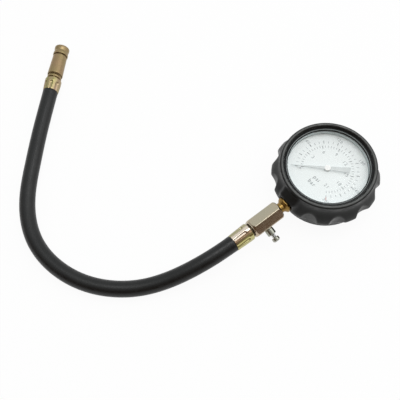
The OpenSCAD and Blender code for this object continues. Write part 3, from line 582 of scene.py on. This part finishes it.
# Gauge head
SCALLOPS = 12
SCALLOP_RADIUS = 9.0
SCALLOP_CENTRE = 47.0
SCALLOP_BLEND = 0.9
BOOT_WALL = 4.2
BOOT_DRAFT = 0.4
BOOT_FLOOR = 4.0
BOOT_FIT = 0.2
BACK_ROUND = 1.4
LIP_START = BOOT_HEIGHT - 2
LOBE_RADIUS = 41.2
LOBE_HEIGHT = 17.0
LOBE_BELOW = 8.0
LOBE_ABOVE = 13.0
HOOD_EDGE = 12.0
HOOD_FADE = 7.0
HOOD_TOP = 25.6
HOOD_END = 30.5
HOOD_BLEND = 1.2
OPENING_HALF = 6.15
OPENING_FADE = 0.5
UP = axis_frame((0, 0, 0), (0, 0, 1), (1, 0, 0))


def boot_wall(z):
    """Radius of the boot's wall at a height: a slight draft with one squared-cosine swell for the lobes."""
    draft = CASE_RADIUS + BOOT_WALL + BOOT_DRAFT * z / BOOT_HEIGHT
    middle = CASE_RADIUS + BOOT_WALL + BOOT_DRAFT * LOBE_HEIGHT / BOOT_HEIGHT
    t = (z - LOBE_HEIGHT) / np.where(z < LOBE_HEIGHT, LOBE_BELOW, LOBE_ABOVE)
    swell = np.where(np.abs(t) < 1, np.cos(np.clip(t, -1, 1) * math.pi / 2) ** 2, 0)
    return draft + (LOBE_RADIUS - middle) * swell


def rubber_boot():
    """A turned shell whose outer wall is the softer minimum of the lobed wall and of a ring of round hollows.

    At the stem there is no hollow: the wall stays at the lobes' radius up to a hood over the stem, which eases off
    to both sides, and is let in where the stem's square opening is.
    """
    angle = round_angles(SCALLOPS * 40) - math.pi / 2
    height, case = BOOT_HEIGHT, CASE_RADIUS
    groove = bezel_low[2] - 0.3
    z = np.linspace(BACK_ROUND, LIP_START, 120)
    back = softened([(0, 0), (0, case + 3.5, 1.2), (BACK_ROUND, boot_wall(np.array(BACK_ROUND)))], 8)
    lip = softened([
        (LIP_START, boot_wall(np.array(LIP_START))), (height - 0.8, case + 4.55, 0.6),
        (height - 0.25, case + 4.0, 0.8), (height, case + 3.0, 0.4), (height - 0.1, case + 2.4, 0.3),
        (height - 1.75, BEZEL_RADIUS - 0.5, 0.2), (BEZEL_TOP + BOOT_FIT, BEZEL_RADIUS - 0.5),
        (BEZEL_TOP + BOOT_FIT, BEZEL_RADIUS + BOOT_FIT), (groove, BEZEL_RADIUS + BOOT_FIT),
        (groove, case + BOOT_FIT), (BOOT_FLOOR, case + BOOT_FIT), (BOOT_FLOOR, 0)], 9)
    along = np.concatenate([back[:, 0], z, lip[1:, 0]])
    radius = np.concatenate([back[:, 1], boot_wall(z), lip[1:, 1]])
    outside = np.zeros((len(along), 1), bool)
    outside[len(back):len(back) + len(z)] = True

    # Hood over the stem
    from_stem = np.abs((angle + math.pi / 2 + math.pi) % TURN - math.pi)
    slope = (LOBE_RADIUS - boot_wall(np.array(HOOD_END))) / (HOOD_END - HOOD_TOP)
    hood = soft_min(np.full_like(along, LOBE_RADIUS), LOBE_RADIUS - (along - HOOD_TOP) * slope, HOOD_BLEND)
    hood = np.where(along > LOBE_HEIGHT, np.maximum(radius, hood), radius)
    cover = smooth_step((HOOD_EDGE - np.degrees(from_stem)) / HOOD_FADE + 0.5)
    wall = np.repeat(radius[:, None], len(angle), axis=1)
    wall = np.where(outside, wall + (hood[:, None] - wall) * cover, wall)

    # Round hollows
    step = TURN / SCALLOPS
    off = (angle + math.pi / 2 + step / 2) % step - step / 2
    scallop = hollow_radius(SCALLOP_CENTRE, SCALLOP_RADIUS ** 2, off)
    scallop = np.where(from_stem < step / 2, NO_CUT, scallop)
    cut = soft_min(wall, scallop, SCALLOP_BLEND)
    wall = np.where((radius > case + 4)[:, None], np.minimum(wall, cut), wall)

    # Opening for the stem
    beside = from_stem * LOBE_RADIUS - OPENING_HALF
    above = np.abs(along - STEM_HEIGHT) - OPENING_HALF
    inside = smooth_step(0.5 - np.maximum(beside[None], above[:, None]) / OPENING_FADE)
    wall = np.where(outside, wall + (case + 1 - wall) * inside, wall)
    grid = around_axis(UP, along[:, None], wall, angle)
    return seat(skin("boot", grid, boot_rubber), "gauge", "boot_rubber", "rubber_boot")


def bezel():
    """A pressed ring: a closed outline with a rolled inner edge and a rounded outer shoulder."""
    flange = bezel_low[2]
    inside = BEZEL_RADIUS - 0.5
    lens_top = lens_high[2]
    outline = softened([
        (lens_top, inside), (lens_top, OPENING_RADIUS, 0.15), (BEZEL_TOP - 0.5, OPENING_RADIUS, 0.15),
        (BEZEL_TOP - 0.5, OPENING_RADIUS + 0.6, 0.2), (BEZEL_TOP, OPENING_RADIUS + 0.8, 0.3),
        (BEZEL_TOP, BEZEL_RADIUS, 0.7), (flange, BEZEL_RADIUS, 0.2), (flange, CASE_RADIUS + 0.2, 0.1),
        (flange + 0.8, CASE_RADIUS + 0.2, 0.1), (flange + 0.8, inside), (lens_top, inside)], 8)[:-1]
    ring = turned("bezel", UP, outline[::-1], bezel_black, 192, True)
    return seat(ring, "gauge", "black_steel", "bezel_ring")


def lens_disc():
    """A flat clear disc with slightly broken edges."""
    radius = lens_high[0]
    outline = softened([
        (lens_low[2], 0), (lens_low[2], radius, 0.2), (lens_high[2], radius, 0.2), (lens_high[2], 0)], 5)
    return seat(turned("lens_disc", UP, outline, clear_lens, 128), "gauge", "clear_lens", "lens")


DIAL_THICKNESS = 0.6
DIAL_HOLE = 1.5
MARK_LOW, MARK_HIGH = DIAL_TOP + 0.005, DIAL_TOP + 0.035
TEXT_MIDDLE, TEXT_HALF = DIAL_TOP + 0.018, 0.012
LETTER_SPACING = 1.2
LETTER_SWELL = 0.01


def dial_disc():
    """A thin plate with a hole for the arbor and a faintly rounded rim."""
    bottom = DIAL_TOP - DIAL_THICKNESS
    middle = DIAL_TOP - DIAL_THICKNESS / 2
    outline = softened([
        (middle, DIAL_HOLE), (bottom, DIAL_HOLE, 0.08), (bottom, DIAL_RADIUS, 0.15), (DIAL_TOP, DIAL_RADIUS, 0.15),
        (DIAL_TOP, DIAL_HOLE, 0.08), (middle, DIAL_HOLE)], 5)[:-1]
    return seat(turned("dial", UP, outline, dial_white, 160, True), "gauge", "dial_white", "dial_plate")


def scale_marks(name, values, full, inner, outer, width, finish):
    """Printed scale lines: for each value a thin bar from one radius to another, turned by its share of the
    sweep."""
    angle = ZERO_ANGLE - FULL_SWEEP * np.asarray(values, float) / full
    radial = np.stack([np.cos(angle), np.sin(angle), np.zeros_like(angle)], axis=1)
    across = np.stack([-np.sin(angle), np.cos(angle), np.zeros_like(angle)], axis=1) * width / 2
    corner = [(inner, -1), (outer, -1), (outer, 1), (inner, 1)]
    flat = np.stack([r * radial + s * across for r, s in corner], axis=1)
    points = np.concatenate([flat + [0, 0, MARK_LOW], flat + [0, 0, MARK_HIGH]], axis=1).reshape(-1, 3)
    box = np.array([[4, 5, 6, 7], [3, 2, 1, 0], [0, 1, 5, 4], [1, 2, 6, 5], [2, 3, 7, 6], [3, 0, 4, 7]])
    faces = (np.arange(len(angle))[:, None, None] * 8 + box).reshape(-1, 4)
    mesh = bpy.data.meshes.new(name)
    mesh.from_pydata(points * MM, [], faces.tolist())
    return seat(linked(name, mesh, finish), "gauge", "dial_white")


def printed(name, words, x, y, size, finish):
    """A printed word or number, made a thin mesh that lies on the dial."""
    curve = bpy.data.curves.new(name, "FONT")
    curve.body = words
    curve.size = size * MM
    curve.align_x = "CENTER"
    curve.align_y = "CENTER"
    curve.extrude = TEXT_HALF * MM
    curve.space_character = LETTER_SPACING
    curve.offset = LETTER_SWELL * MM
    shape = bpy.data.objects.new(name + "_shape", curve)
    bpy.context.scene.collection.objects.link(shape)
    bpy.context.view_layer.update()
    mesh = bpy.data.meshes.new_from_object(shape.evaluated_get(bpy.context.evaluated_depsgraph_get()))
    bpy.data.objects.remove(shape)
    mesh.transform(Matrix.Translation((x * MM, y * MM, TEXT_MIDDLE * MM)))
    return seat(linked(name, mesh, finish), "gauge", "dial_white")


def scale_numbers(name, values, full, radius, size, finish):
    """Numbers set upright round the dial at their values' places."""
    for value in values:
        angle = ZERO_ANGLE - FULL_SWEEP * value / full
        x, y = radius * math.cos(angle), radius * math.sin(angle)
        printed(f"{name}_{value}", str(value), x, y, size, finish)


PSI_FULL = 300
BAR_FULL = 21


def dial_print():
    """Two plain pressure scales: an outer ring of marks to 300 and an inner one to 21, with their units."""
    outer, inner = 0.72 * DIAL_RADIUS, 0.6 * DIAL_RADIUS
    scale_marks("outer_fine", np.arange(0, PSI_FULL + 1, 10), PSI_FULL, outer, outer + 1.9, 0.42, ink_dark)
    scale_marks("outer_main", np.arange(0, PSI_FULL, 30), PSI_FULL, outer, outer + 2.5, 0.5, ink_dark)
    scale_marks("outer_end", [PSI_FULL], PSI_FULL, outer + 1.2, outer + 4.2, 0.5, ink_red)
    scale_marks("inner_fine", np.arange(0, BAR_FULL + 0.1, 0.5), BAR_FULL, inner, inner + 1.8, 0.4, ink_dark)
    scale_marks("inner_main", np.arange(0, BAR_FULL, 3), BAR_FULL, inner - 0.8, inner + 1.8, 0.5, ink_dark)
    scale_numbers("outer", [60, 120, 180, 240, 300], PSI_FULL, 0.88 * DIAL_RADIUS, 3.3, ink_grey)
    scale_numbers("inner", [3, 6, 9, 12, 15, 18, 21], BAR_FULL, 0.47 * DIAL_RADIUS, 3.7, ink_grey)
    printed("unit_outer", "psi", 1.2, -11.8, 4.3, ink_units)
    printed("unit_inner", "bar", 1.2, -16.8, 4.3, ink_units)


def pointer_blade():
    """A flat needle along the zero mark: half-widths on both sides run from the oblique tail to the fine tip,
    with a flat eight-sided section. It casts no shadow, as under the photograph's very soft light."""
    tip, tail = 27.5, 16.8
    along = np.array([-tail, -tail + 0.3, -8, -1.6, 0, 1.8, 2.6, 14, tip - 0.4, tip])
    left = np.array([2.3, 2.5, 1.95, 1.45, 1.4, 1.25, 1.15, 0.75, 0.26, 0.12])
    right = np.array([1.9, 2.3, 1.9, 1.45, 1.4, 1.25, 1.15, 0.75, 0.26, 0.12])
    slant = np.array([0.26, 0.26, 0.05, 0, 0, 0, 0, 0, 0, 0])
    bottom, top = pointer_low[2], pointer_high[2]
    section = np.array([
        [1, 0.2], [1, 0.8], [0.86, 1], [-0.86, 1], [-1, 0.8], [-1, 0.2], [-0.86, 0], [0.86, 0]])
    half = np.where(section[None, :, 0] > 0, left[:, None], right[:, None])
    across = section[None, :, 0] * half
    forward = along[:, None] + slant[:, None] * across
    height = bottom + (top - bottom) * np.broadcast_to(section[None, :, 1], across.shape)
    c, s = math.cos(ZERO_ANGLE), math.sin(ZERO_ANGLE)
    grid = np.stack([forward * c - across * s, forward * s + across * c, height], axis=-1)
    piece = skin("pointer_blade", closed_ends(grid)[::-1, ::-1], pointer_grey)
    piece.data.polygons.foreach_set("use_smooth", np.zeros(len(piece.data.polygons), bool))
    piece.visible_shadow = False
    return seat(piece, "pointer_set", "pointer_grey", "pointer")


def pointer_cap():
    """A small turned cap, slightly domed, with a shank down into the needle."""
    radius = hub_high[0]
    outline = softened([
        (hub_low[2], 0), (hub_low[2], 1.2), (pointer_high[2], 1.2), (pointer_high[2], radius, 0.1),
        (hub_high[2] - 0.1, radius, 0.25), (hub_high[2], radius * 0.5), (hub_high[2] + 0.03, 0)], 6)
    return seat(turned("pointer_cap", UP, outline, hub_white, 64), "pointer_set", "hub_white", "pointer_hub")


rubber_boot()
bezel()
lens_disc()
dial_disc()
dial_print()
pointer_blade()
pointer_cap()


# Stem, adapter and release valve
STEM = axis_frame((0, 0, STEM_HEIGHT), (0, -1, 0))
VALVE = axis_frame(VALVE_AT, VALVE_AXIS)
STEM_THREAD = 4.85
HEX_POWER = 40
HEX_CHAMFER = 0.8
HEX_BLEND = 0.18
VALVE_BORE = 2.1
ROD_BORE = 0.96
ROD_RADIUS = 0.9
SPRING_DEPTH = 3.2


def hexagon_angles(per_face):
    """Angles round a hexagon, closer together at its corners."""
    t = np.linspace(-1, 1, per_face, endpoint=False)
    bunched = np.sign(t) * (1 - (1 - np.abs(t)) ** 2.2) * math.radians(30)
    return np.concatenate([bunched + k * math.radians(60) for k in range(6)])


def adapter():
    """A hexagonal bar with a softly broken edge and turned chamfers.

    Its radius at an angle is the half width over the power sum of the six cosines, and at each end it is the
    softer minimum of that and a chamfer cone. A low round face stands at the hose end, and a bore runs through.
    """
    half = HEX_FLATS / 2
    length = HEX_END - HEX_START
    angle = hexagon_angles(22) + math.radians(30) - HEX_TURN
    faces = np.radians(30 + 60 * np.arange(6)) - HEX_TURN
    cosines = np.maximum(np.cos(angle[:, None] - faces[None]), 0) ** HEX_POWER
    section = half / cosines.sum(1) ** (1 / HEX_POWER)
    along = np.concatenate([[0], np.linspace(0.02, 1.9, 16), np.linspace(2.3, length - 2.3, 12),
                            np.linspace(length - 1.9, length - 0.02, 16), [length]])
    cone = half - 0.25 + np.minimum(along, length - along) * HEX_CHAMFER
    radius = soft_min(section, cone[:, None], HEX_BLEND)
    outer = around_axis(STEM, along[:, None] + HEX_START, radius, angle)
    bore = np.full((2, 1), STEM_THREAD - 0.05)
    inner = around_axis(STEM, np.array([[HEX_START], [HEX_END]]), bore, angle)
    face = softened([
        (HEX_END, half - 0.27), (HEX_END + 0.05, half - 0.3), (HEX_END + 0.8, half - 0.45, 0.3),
        (HEX_END + 0.8, 5.5)], 6)
    washer = around_axis(STEM, face[:, :1], face[:, 1:], angle)
    rings = np.concatenate([inner[:1], outer, washer[1:], inner[1:]])
    return seat(skin("adapter", rings, adapter_brass, along=True), "gauge", "adapter_brass", "hex_adapter")


def valve_pieces():
    """Turned release valve: a barrel screwed into the adapter and a push button on its stem."""
    face, r, end = HEX_FLATS / 2, VALVE_RADIUS, BARREL_END
    foot = face - 0.6
    barrel = softened([
        (foot, VALVE_BORE), (foot, r - 0.25), (face + 0.5, r - 0.25, 0.1), (face + 0.9, r, 0.15),
        (end - 0.5, r, 0.2), (end, r - 0.5, 0.15), (end, VALVE_BORE, 0.1), (end - SPRING_DEPTH, VALVE_BORE),
        (end - SPRING_DEPTH, ROD_BORE), (foot, ROD_BORE), (foot, VALVE_BORE)], 6)[:-1]
    seat(turned("valve_barrel", VALVE, barrel, nickel, 72, True), "gauge", "nickel", "valve_body")
    start, top, b = BARREL_END + BUTTON_GAP, BUTTON_END, BUTTON_RADIUS
    button = softened([
        (1.3, 0), (1.3, 1.6), (2, 1.6), (2, ROD_RADIUS), (start, ROD_RADIUS, 0.1), (start, b - 0.35, 0.1),
        (start + 0.5, b, 0.25), (top - 1.1, b, 0.4), (top - 0.2, b - 0.9, 0.5), (top, 0)], 6)
    seat(turned("release_button", VALVE, button, nickel, 64), "release_set", "nickel", "valve_button")


adapter()
valve_pieces()


# Ferrules and coupler
FLUTES = 8
FLUTE_RADIUS = 2.1
FLUTE_CENTRE = 8.05
FLUTE_TURN = math.radians(9)
FLUTE_BLEND = 0.22
FLUTE_STOP = 5.0
FERRULE_COLLAR = 6.95
FERRULE_MOUTH = 6.5
FERRULE_INSIDE = 5.75
COUPLER = axis_frame(COUPLER_AT, COUPLER_AXIS)
NEAR_FERRULE = axis_frame((0, -NEAR_MOUTH, STEM_HEIGHT), (0, 1, 0))


def ferrule(name, place, length, node, finish):
    """A crimped ferrule from its mouth to its collar.

    Its wall is the softer minimum of the turned outline and of eight round flutes. Past its straight run a flute's
    radius shrinks as a sphere's does.
    """
    outline = softened([
        (0, FERRULE_INSIDE + 0.3), (0, FERRULE_MOUTH - 0.15, 0.2), (0.8, FERRULE_MOUTH, 0.4),
        (length - 2.4, FERRULE_COLLAR, 0.6), (length, FERRULE_COLLAR, 0.45), (length, 3.2), (length, 3)], 7)
    gone = np.concatenate([[0], np.cumsum(np.linalg.norm(np.diff(outline, axis=0), axis=1))])
    gone /= gone[-1]
    spots = np.unique(np.concatenate([gone, np.linspace(0, 1, 90)]))
    along = np.interp(spots, gone, outline[:, 0])[:, None]
    radius = np.interp(spots, gone, outline[:, 1])[:, None]
    angle = round_angles(FLUTES * 30)
    step = TURN / FLUTES
    off = (angle - FLUTE_TURN + step / 2) % step - step / 2
    past = np.maximum(along - (length - FLUTE_STOP), 0)
    flute = hollow_radius(FLUTE_CENTRE, FLUTE_RADIUS ** 2 - past ** 2, off)
    cut = np.minimum(radius, soft_min(radius, flute, FLUTE_BLEND))
    wall = np.where(radius > FERRULE_INSIDE + 0.5, cut, radius)
    inside = np.array([[length - 1.2, 3], [length - 1.2, FERRULE_INSIDE], [2.4, FERRULE_INSIDE]])
    along = np.concatenate([along, inside[:, :1]])
    wall = np.concatenate([wall, np.repeat(inside[:, 1:], len(angle), 1)])
    grid = around_axis(place, along, wall, angle)
    return seat(skin(name, grid, finish, along=True), "gauge", "yellow_zinc", node)


FAR_LENGTH = reach("far_ferrule", COUPLER_AT, COUPLER_AXIS)[1]
SLEEVE_START, SLEEVE_END, _ = reach("coupler_sleeve", COUPLER_AT, COUPLER_AXIS)
NOSE_END = reach("coupler_body", COUPLER_AT, COUPLER_AXIS)[1]
SLEEVE_REAR = 6.45
SLEEVE_FRONT = 5.95
NOSE_RADIUS = 6.35
SLEEVE_CHAMBER = 11.6
CHAMBER_RADIUS = 5.75
BODY_START = SLEEVE_START - 0.4
BODY_RADIUS = 5.05
FLANGE = 1.2
FLANGE_RADIUS = 5.45
SOCKET_RADIUS = 3.6
SOCKET_FLOOR = 9.2
NECK_RADIUS = 5.0
NECK_BORE = 1.5
RING_RADIUS = 6.0


def coupler_tail():
    """Turned hose tail: neck and one raised ring between the ferrule and the sleeve."""
    start, end = FAR_LENGTH - 0.8, SLEEVE_START + 0.2
    ring = FAR_LENGTH + 1.7
    outline = softened([
        (start, NECK_BORE), (start, NECK_RADIUS), (ring, NECK_RADIUS, 0.25), (ring, RING_RADIUS, 0.35),
        (ring + 2, RING_RADIUS, 0.35), (ring + 2, NECK_RADIUS, 0.2), (end, NECK_RADIUS), (end, NECK_BORE),
        (start, NECK_BORE)], 6)[:-1]
    piece = turned("coupler_neck", COUPLER, outline, coupler_zinc, 96, True)
    return seat(piece, "gauge", "yellow_zinc", "coupler_tail")


def coupler_sleeve():
    """Turned sliding sleeve: a rear shoulder, a long slight taper and a broken front edge, bored through."""
    s, e = SLEEVE_START, SLEEVE_END
    step, bore = s + SLEEVE_CHAMBER, BODY_RADIUS + 0.05
    outline = softened([
        (s, 5.2), (s, SLEEVE_REAR, 0.3), (s + 1.7, SLEEVE_REAR, 1.2), (e - 2, SLEEVE_FRONT + 0.05, 2),
        (e, SLEEVE_FRONT, 0.3), (e, bore), (step, bore), (step, CHAMBER_RADIUS), (s, CHAMBER_RADIUS),
        (s, 5.2)], 7)[1:-1]
    piece = turned("sliding_sleeve", COUPLER, outline, coupler_zinc, 112, True)
    return seat(piece, "sleeve", "yellow_zinc", "coupler_sleeve")


def coupler_nose():
    """Turned coupler body: a core under the sleeve and a rounded, waisted nose ring round the socket."""
    start, end, r = BODY_START, NOSE_END, NOSE_RADIUS
    nose_start = SLEEVE_END + 1.1
    span = end - nose_start
    outline = softened([
        (start, 4.02), (start, FLANGE_RADIUS), (start + FLANGE, FLANGE_RADIUS), (start + FLANGE, BODY_RADIUS),
        (nose_start, BODY_RADIUS, 0.15), (nose_start, r, 0.3), (nose_start + 0.2 * span, r, 0.8),
        (nose_start + 0.45 * span, r - 0.45, 1.6), (nose_start + 0.72 * span, r, 0.9), (end, r, 1.5),
        (end, SOCKET_RADIUS + 0.6, 0.15), (end - 0.7, SOCKET_RADIUS, 0.1), (start + SOCKET_FLOOR, SOCKET_RADIUS),
        (start + SOCKET_FLOOR, 3), (start, 3), (start, 4.02)], 8)[:-1]
    piece = turned("coupler_nose", COUPLER, outline, coupler_zinc, 112, True)
    return seat(piece, "gauge", "yellow_zinc", "coupler_body")


ferrule("near_crimp", NEAR_FERRULE, NEAR_MOUTH - NEAR_START, "near_ferrule", yellow_zinc)
far_crimp = ferrule("far_crimp", COUPLER, FAR_LENGTH, "far_ferrule", far_zinc)
neck = coupler_tail()
sleeve = coupler_sleeve()
nose = coupler_nose()


# Springs
PIN_SPRING_SEAT = 9.0


def coil_spring(name, place, start, length, radius, wire, turns, node):
    """A round wire on a helix: at each angle a circle of the wire's radius, square to the helix, between two
    closed ends."""
    share = np.linspace(0, 1, turns * 30 + 1)
    height = start + wire + share * (length - 2 * wire)
    angle = share * turns * TURN
    line = around_axis(place, height, np.full_like(angle, radius), angle)
    origin, axis = place[0], place[3]
    outward = (line - origin - height[:, None] * axis) / radius
    rise = (length - 2 * wire) / (turns * TURN)
    heading = radius * np.cross(axis, outward) + rise * axis
    heading /= np.linalg.norm(heading, axis=1)[:, None]
    side = np.cross(heading, outward)
    around = round_angles(12)[None, :, None]
    ring = np.cos(around) * outward[:, None] + np.sin(around) * side[:, None]
    grid = closed_ends(line[:, None] + wire * ring)
    piece = seat(skin(name, grid, bright_steel), "gauge", "bright_steel", node)
    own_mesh(piece)
    return piece


coil_spring(
    "button_spring", VALVE, BARREL_END - SPRING_DEPTH, SPRING_DEPTH + BUTTON_GAP, 1.5, 0.22, 7,
    "valve_spring")
collar_spring = coil_spring(
    "collar_spring", COUPLER, BODY_START + FLANGE, SLEEVE_START + SLEEVE_CHAMBER - BODY_START - FLANGE,
    5.42, 0.25, 5, "sleeve_spring")
pin_spring = coil_spring(
    "pin_spring", COUPLER, BODY_START + PIN_SPRING_SEAT, 2.0, 1.1, 0.15, 4, "check_spring")


# Pressure tube
TUBE_BEND = 25.5
TUBE_HEIGHT = 9.0
TUBE_THICKNESS = 3.0
TUBE_END = math.radians(-14)
TUBE_START = math.radians(262)


def pressure_tube():
    """A flattened tube on an arc: its section is two half circles and two straight sides, carried round the
    gauge's axis from the free tip to the socket."""
    sweep = np.linspace(TUBE_END, TUBE_START, 161)[:, None]
    around = round_angles(32)
    half = TUBE_THICKNESS / 2
    upward = half * np.sin(around) + (TUBE_HEIGHT / 2 - half) * np.sign(np.round(np.sin(around), 9))
    away = TUBE_BEND + half * np.cos(around)
    height = np.broadcast_to(STEM_HEIGHT - upward, (len(sweep), len(around)))
    grid = np.stack([away * np.cos(sweep), away * np.sin(sweep), height], axis=-1)
    piece = skin("pressure_tube", closed_ends(grid), bronze)
    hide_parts("bourdon_tube")
    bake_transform(piece)


pressure_tube()


# Pieces that keep their CAD solid
KEPT = {
    case_paint: ["case"],
    gasket_pale: ["lens_gasket"],
    seal_rubber: ["valve_seal", "coupler_seal"],
    bright_steel: ["stop_pin", "plate_screws", "pinion_arbor", "sector_arbor", "tip_link", "case_screws",
                   "lock_balls", "check_pin"],
    brass: ["lower_plate", "upper_plate", "plate_posts", "sector_gear", "restrictor", "check_barrel"],
    bronze: ["hairspring", "bourdon_tip"],
    stem_brass: ["stem_socket"],
    dark_nipple: ["hose_nipple"],
}
for finish, nodes in KEPT.items():
    for node in nodes:
        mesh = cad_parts[node].data
        mesh.materials.clear()
        mesh.materials.append(finish)


# Floor, light and surroundings
FLOOR_SIDE = 3000.0
FLOOR_DROP = 0.02
FLOOR_EVEN = 0.94
PALE_SIDE = (-0.46, 0.48, 0.75)
STRIP_TOP, WALL_START = 0.11, 0.17


def floor():
    """A wide flat sheet under the part: mostly even white, with the part's soft shadow."""
    edge = np.linspace(-FLOOR_SIDE, FLOOR_SIDE, 3)
    x, y = np.meshgrid(edge, edge)
    grid = np.stack([x, y, np.full_like(x, -FLOOR_DROP)], axis=-1)
    finish = bpy.data.materials.new("floor_white")
    finish.use_nodes = True
    tree = finish.node_tree
    tree.nodes.remove(tree.nodes["Principled BSDF"])
    out = tree.nodes["Material Output"]
    matt = add(tree, "ShaderNodeBsdfDiffuse", inputs=[("Color", (0.86, 0.86, 0.86, 1))])
    even = add(tree, "ShaderNodeEmission", inputs=[("Strength", 1.0)])
    rays = add(tree, "ShaderNodeLightPath")
    seen = add(tree, "ShaderNodeMath", [("operation", "MAXIMUM")])
    seen_all = add(tree, "ShaderNodeMath", [("operation", "MAXIMUM")])
    share = add(tree, "ShaderNodeMath", [("operation", "MULTIPLY")], [(1, FLOOR_EVEN)])
    mix = add(tree, "ShaderNodeMixShader")
    tree.links.new(rays.outputs["Is Camera Ray"], seen.inputs[0])
    tree.links.new(rays.outputs["Is Glossy Ray"], seen.inputs[1])
    tree.links.new(seen.outputs[0], seen_all.inputs[0])
    tree.links.new(rays.outputs["Is Transmission Ray"], seen_all.inputs[1])
    tree.links.new(seen_all.outputs[0], share.inputs[0])
    tree.links.new(share.outputs[0], mix.inputs["Fac"])
    tree.links.new(matt.outputs[0], mix.inputs[1])
    tree.links.new(even.outputs[0], mix.inputs[2])
    tree.links.new(mix.outputs[0], out.inputs["Surface"])
    skin("floor", grid, finish, around=False)


def surroundings():
    """Studio walls as a smooth gradient: pale overhead and on the left, brown and dim low on the right, above
    a low white strip where the sheet on the floor ends."""
    world = bpy.data.worlds.new("studio")
    bpy.context.scene.world = world
    world.use_nodes = True
    tree = world.node_tree
    place = add(tree, "ShaderNodeTexCoord")
    toward = add(tree, "ShaderNodeVectorMath", [("operation", "DOT_PRODUCT")], [(1, PALE_SIDE)])
    tree.links.new(place.outputs["Generated"], toward.inputs[0])
    share = spread(tree, toward.outputs["Value"], 0, 1, -1, 1)
    sky = ramp(tree, share, [(0.475, (0.16, 0.1, 0.065)), (0.63, (0.42, 0.4, 0.375)), (0.87, (0.88, 0.91, 0.91))])
    parts = add(tree, "ShaderNodeSeparateXYZ")
    mix = add(tree, "ShaderNodeMix", [("data_type", "RGBA")])
    mix.inputs["A"].default_value = (1, 1, 1, 1)
    tree.links.new(place.outputs["Generated"], parts.inputs["Vector"])
    tree.links.new(spread(tree, parts.outputs["Z"], 0, 1, STRIP_TOP, WALL_START), mix.inputs["Factor"])
    tree.links.new(sky, mix.inputs["B"])
    tree.links.new(mix.outputs["Result"], tree.nodes["Background"].inputs["Color"])


def lamp(name, place, target, size, power):
    """A square soft light that faces a point."""
    light = bpy.data.lights.new(name, "AREA")
    light.size = size
    light.energy = power
    holder = bpy.data.objects.new(name, light)
    holder.location = place
    holder.rotation_mode = "QUATERNION"
    holder.rotation_quaternion = (Vector(target) - Vector(place)).to_track_quat("-Z", "Y")
    bpy.context.scene.collection.objects.link(holder)


floor()
surroundings()
lamp("key_light", (0.36, 0.84, 0.9), (0, 0, 0.02), 1.3, 4.9)
lamp("top_light", (-0.08, 0.4, 1.12), (0, -0.05, 0.02), 0.3, 1.4)
lamp("overhead_light", (-0.19, -0.03, 1.15), (-0.1, -0.08, 0.02), 0.45, 2.1)
bpy.context.scene.view_settings.view_transform = "Standard"
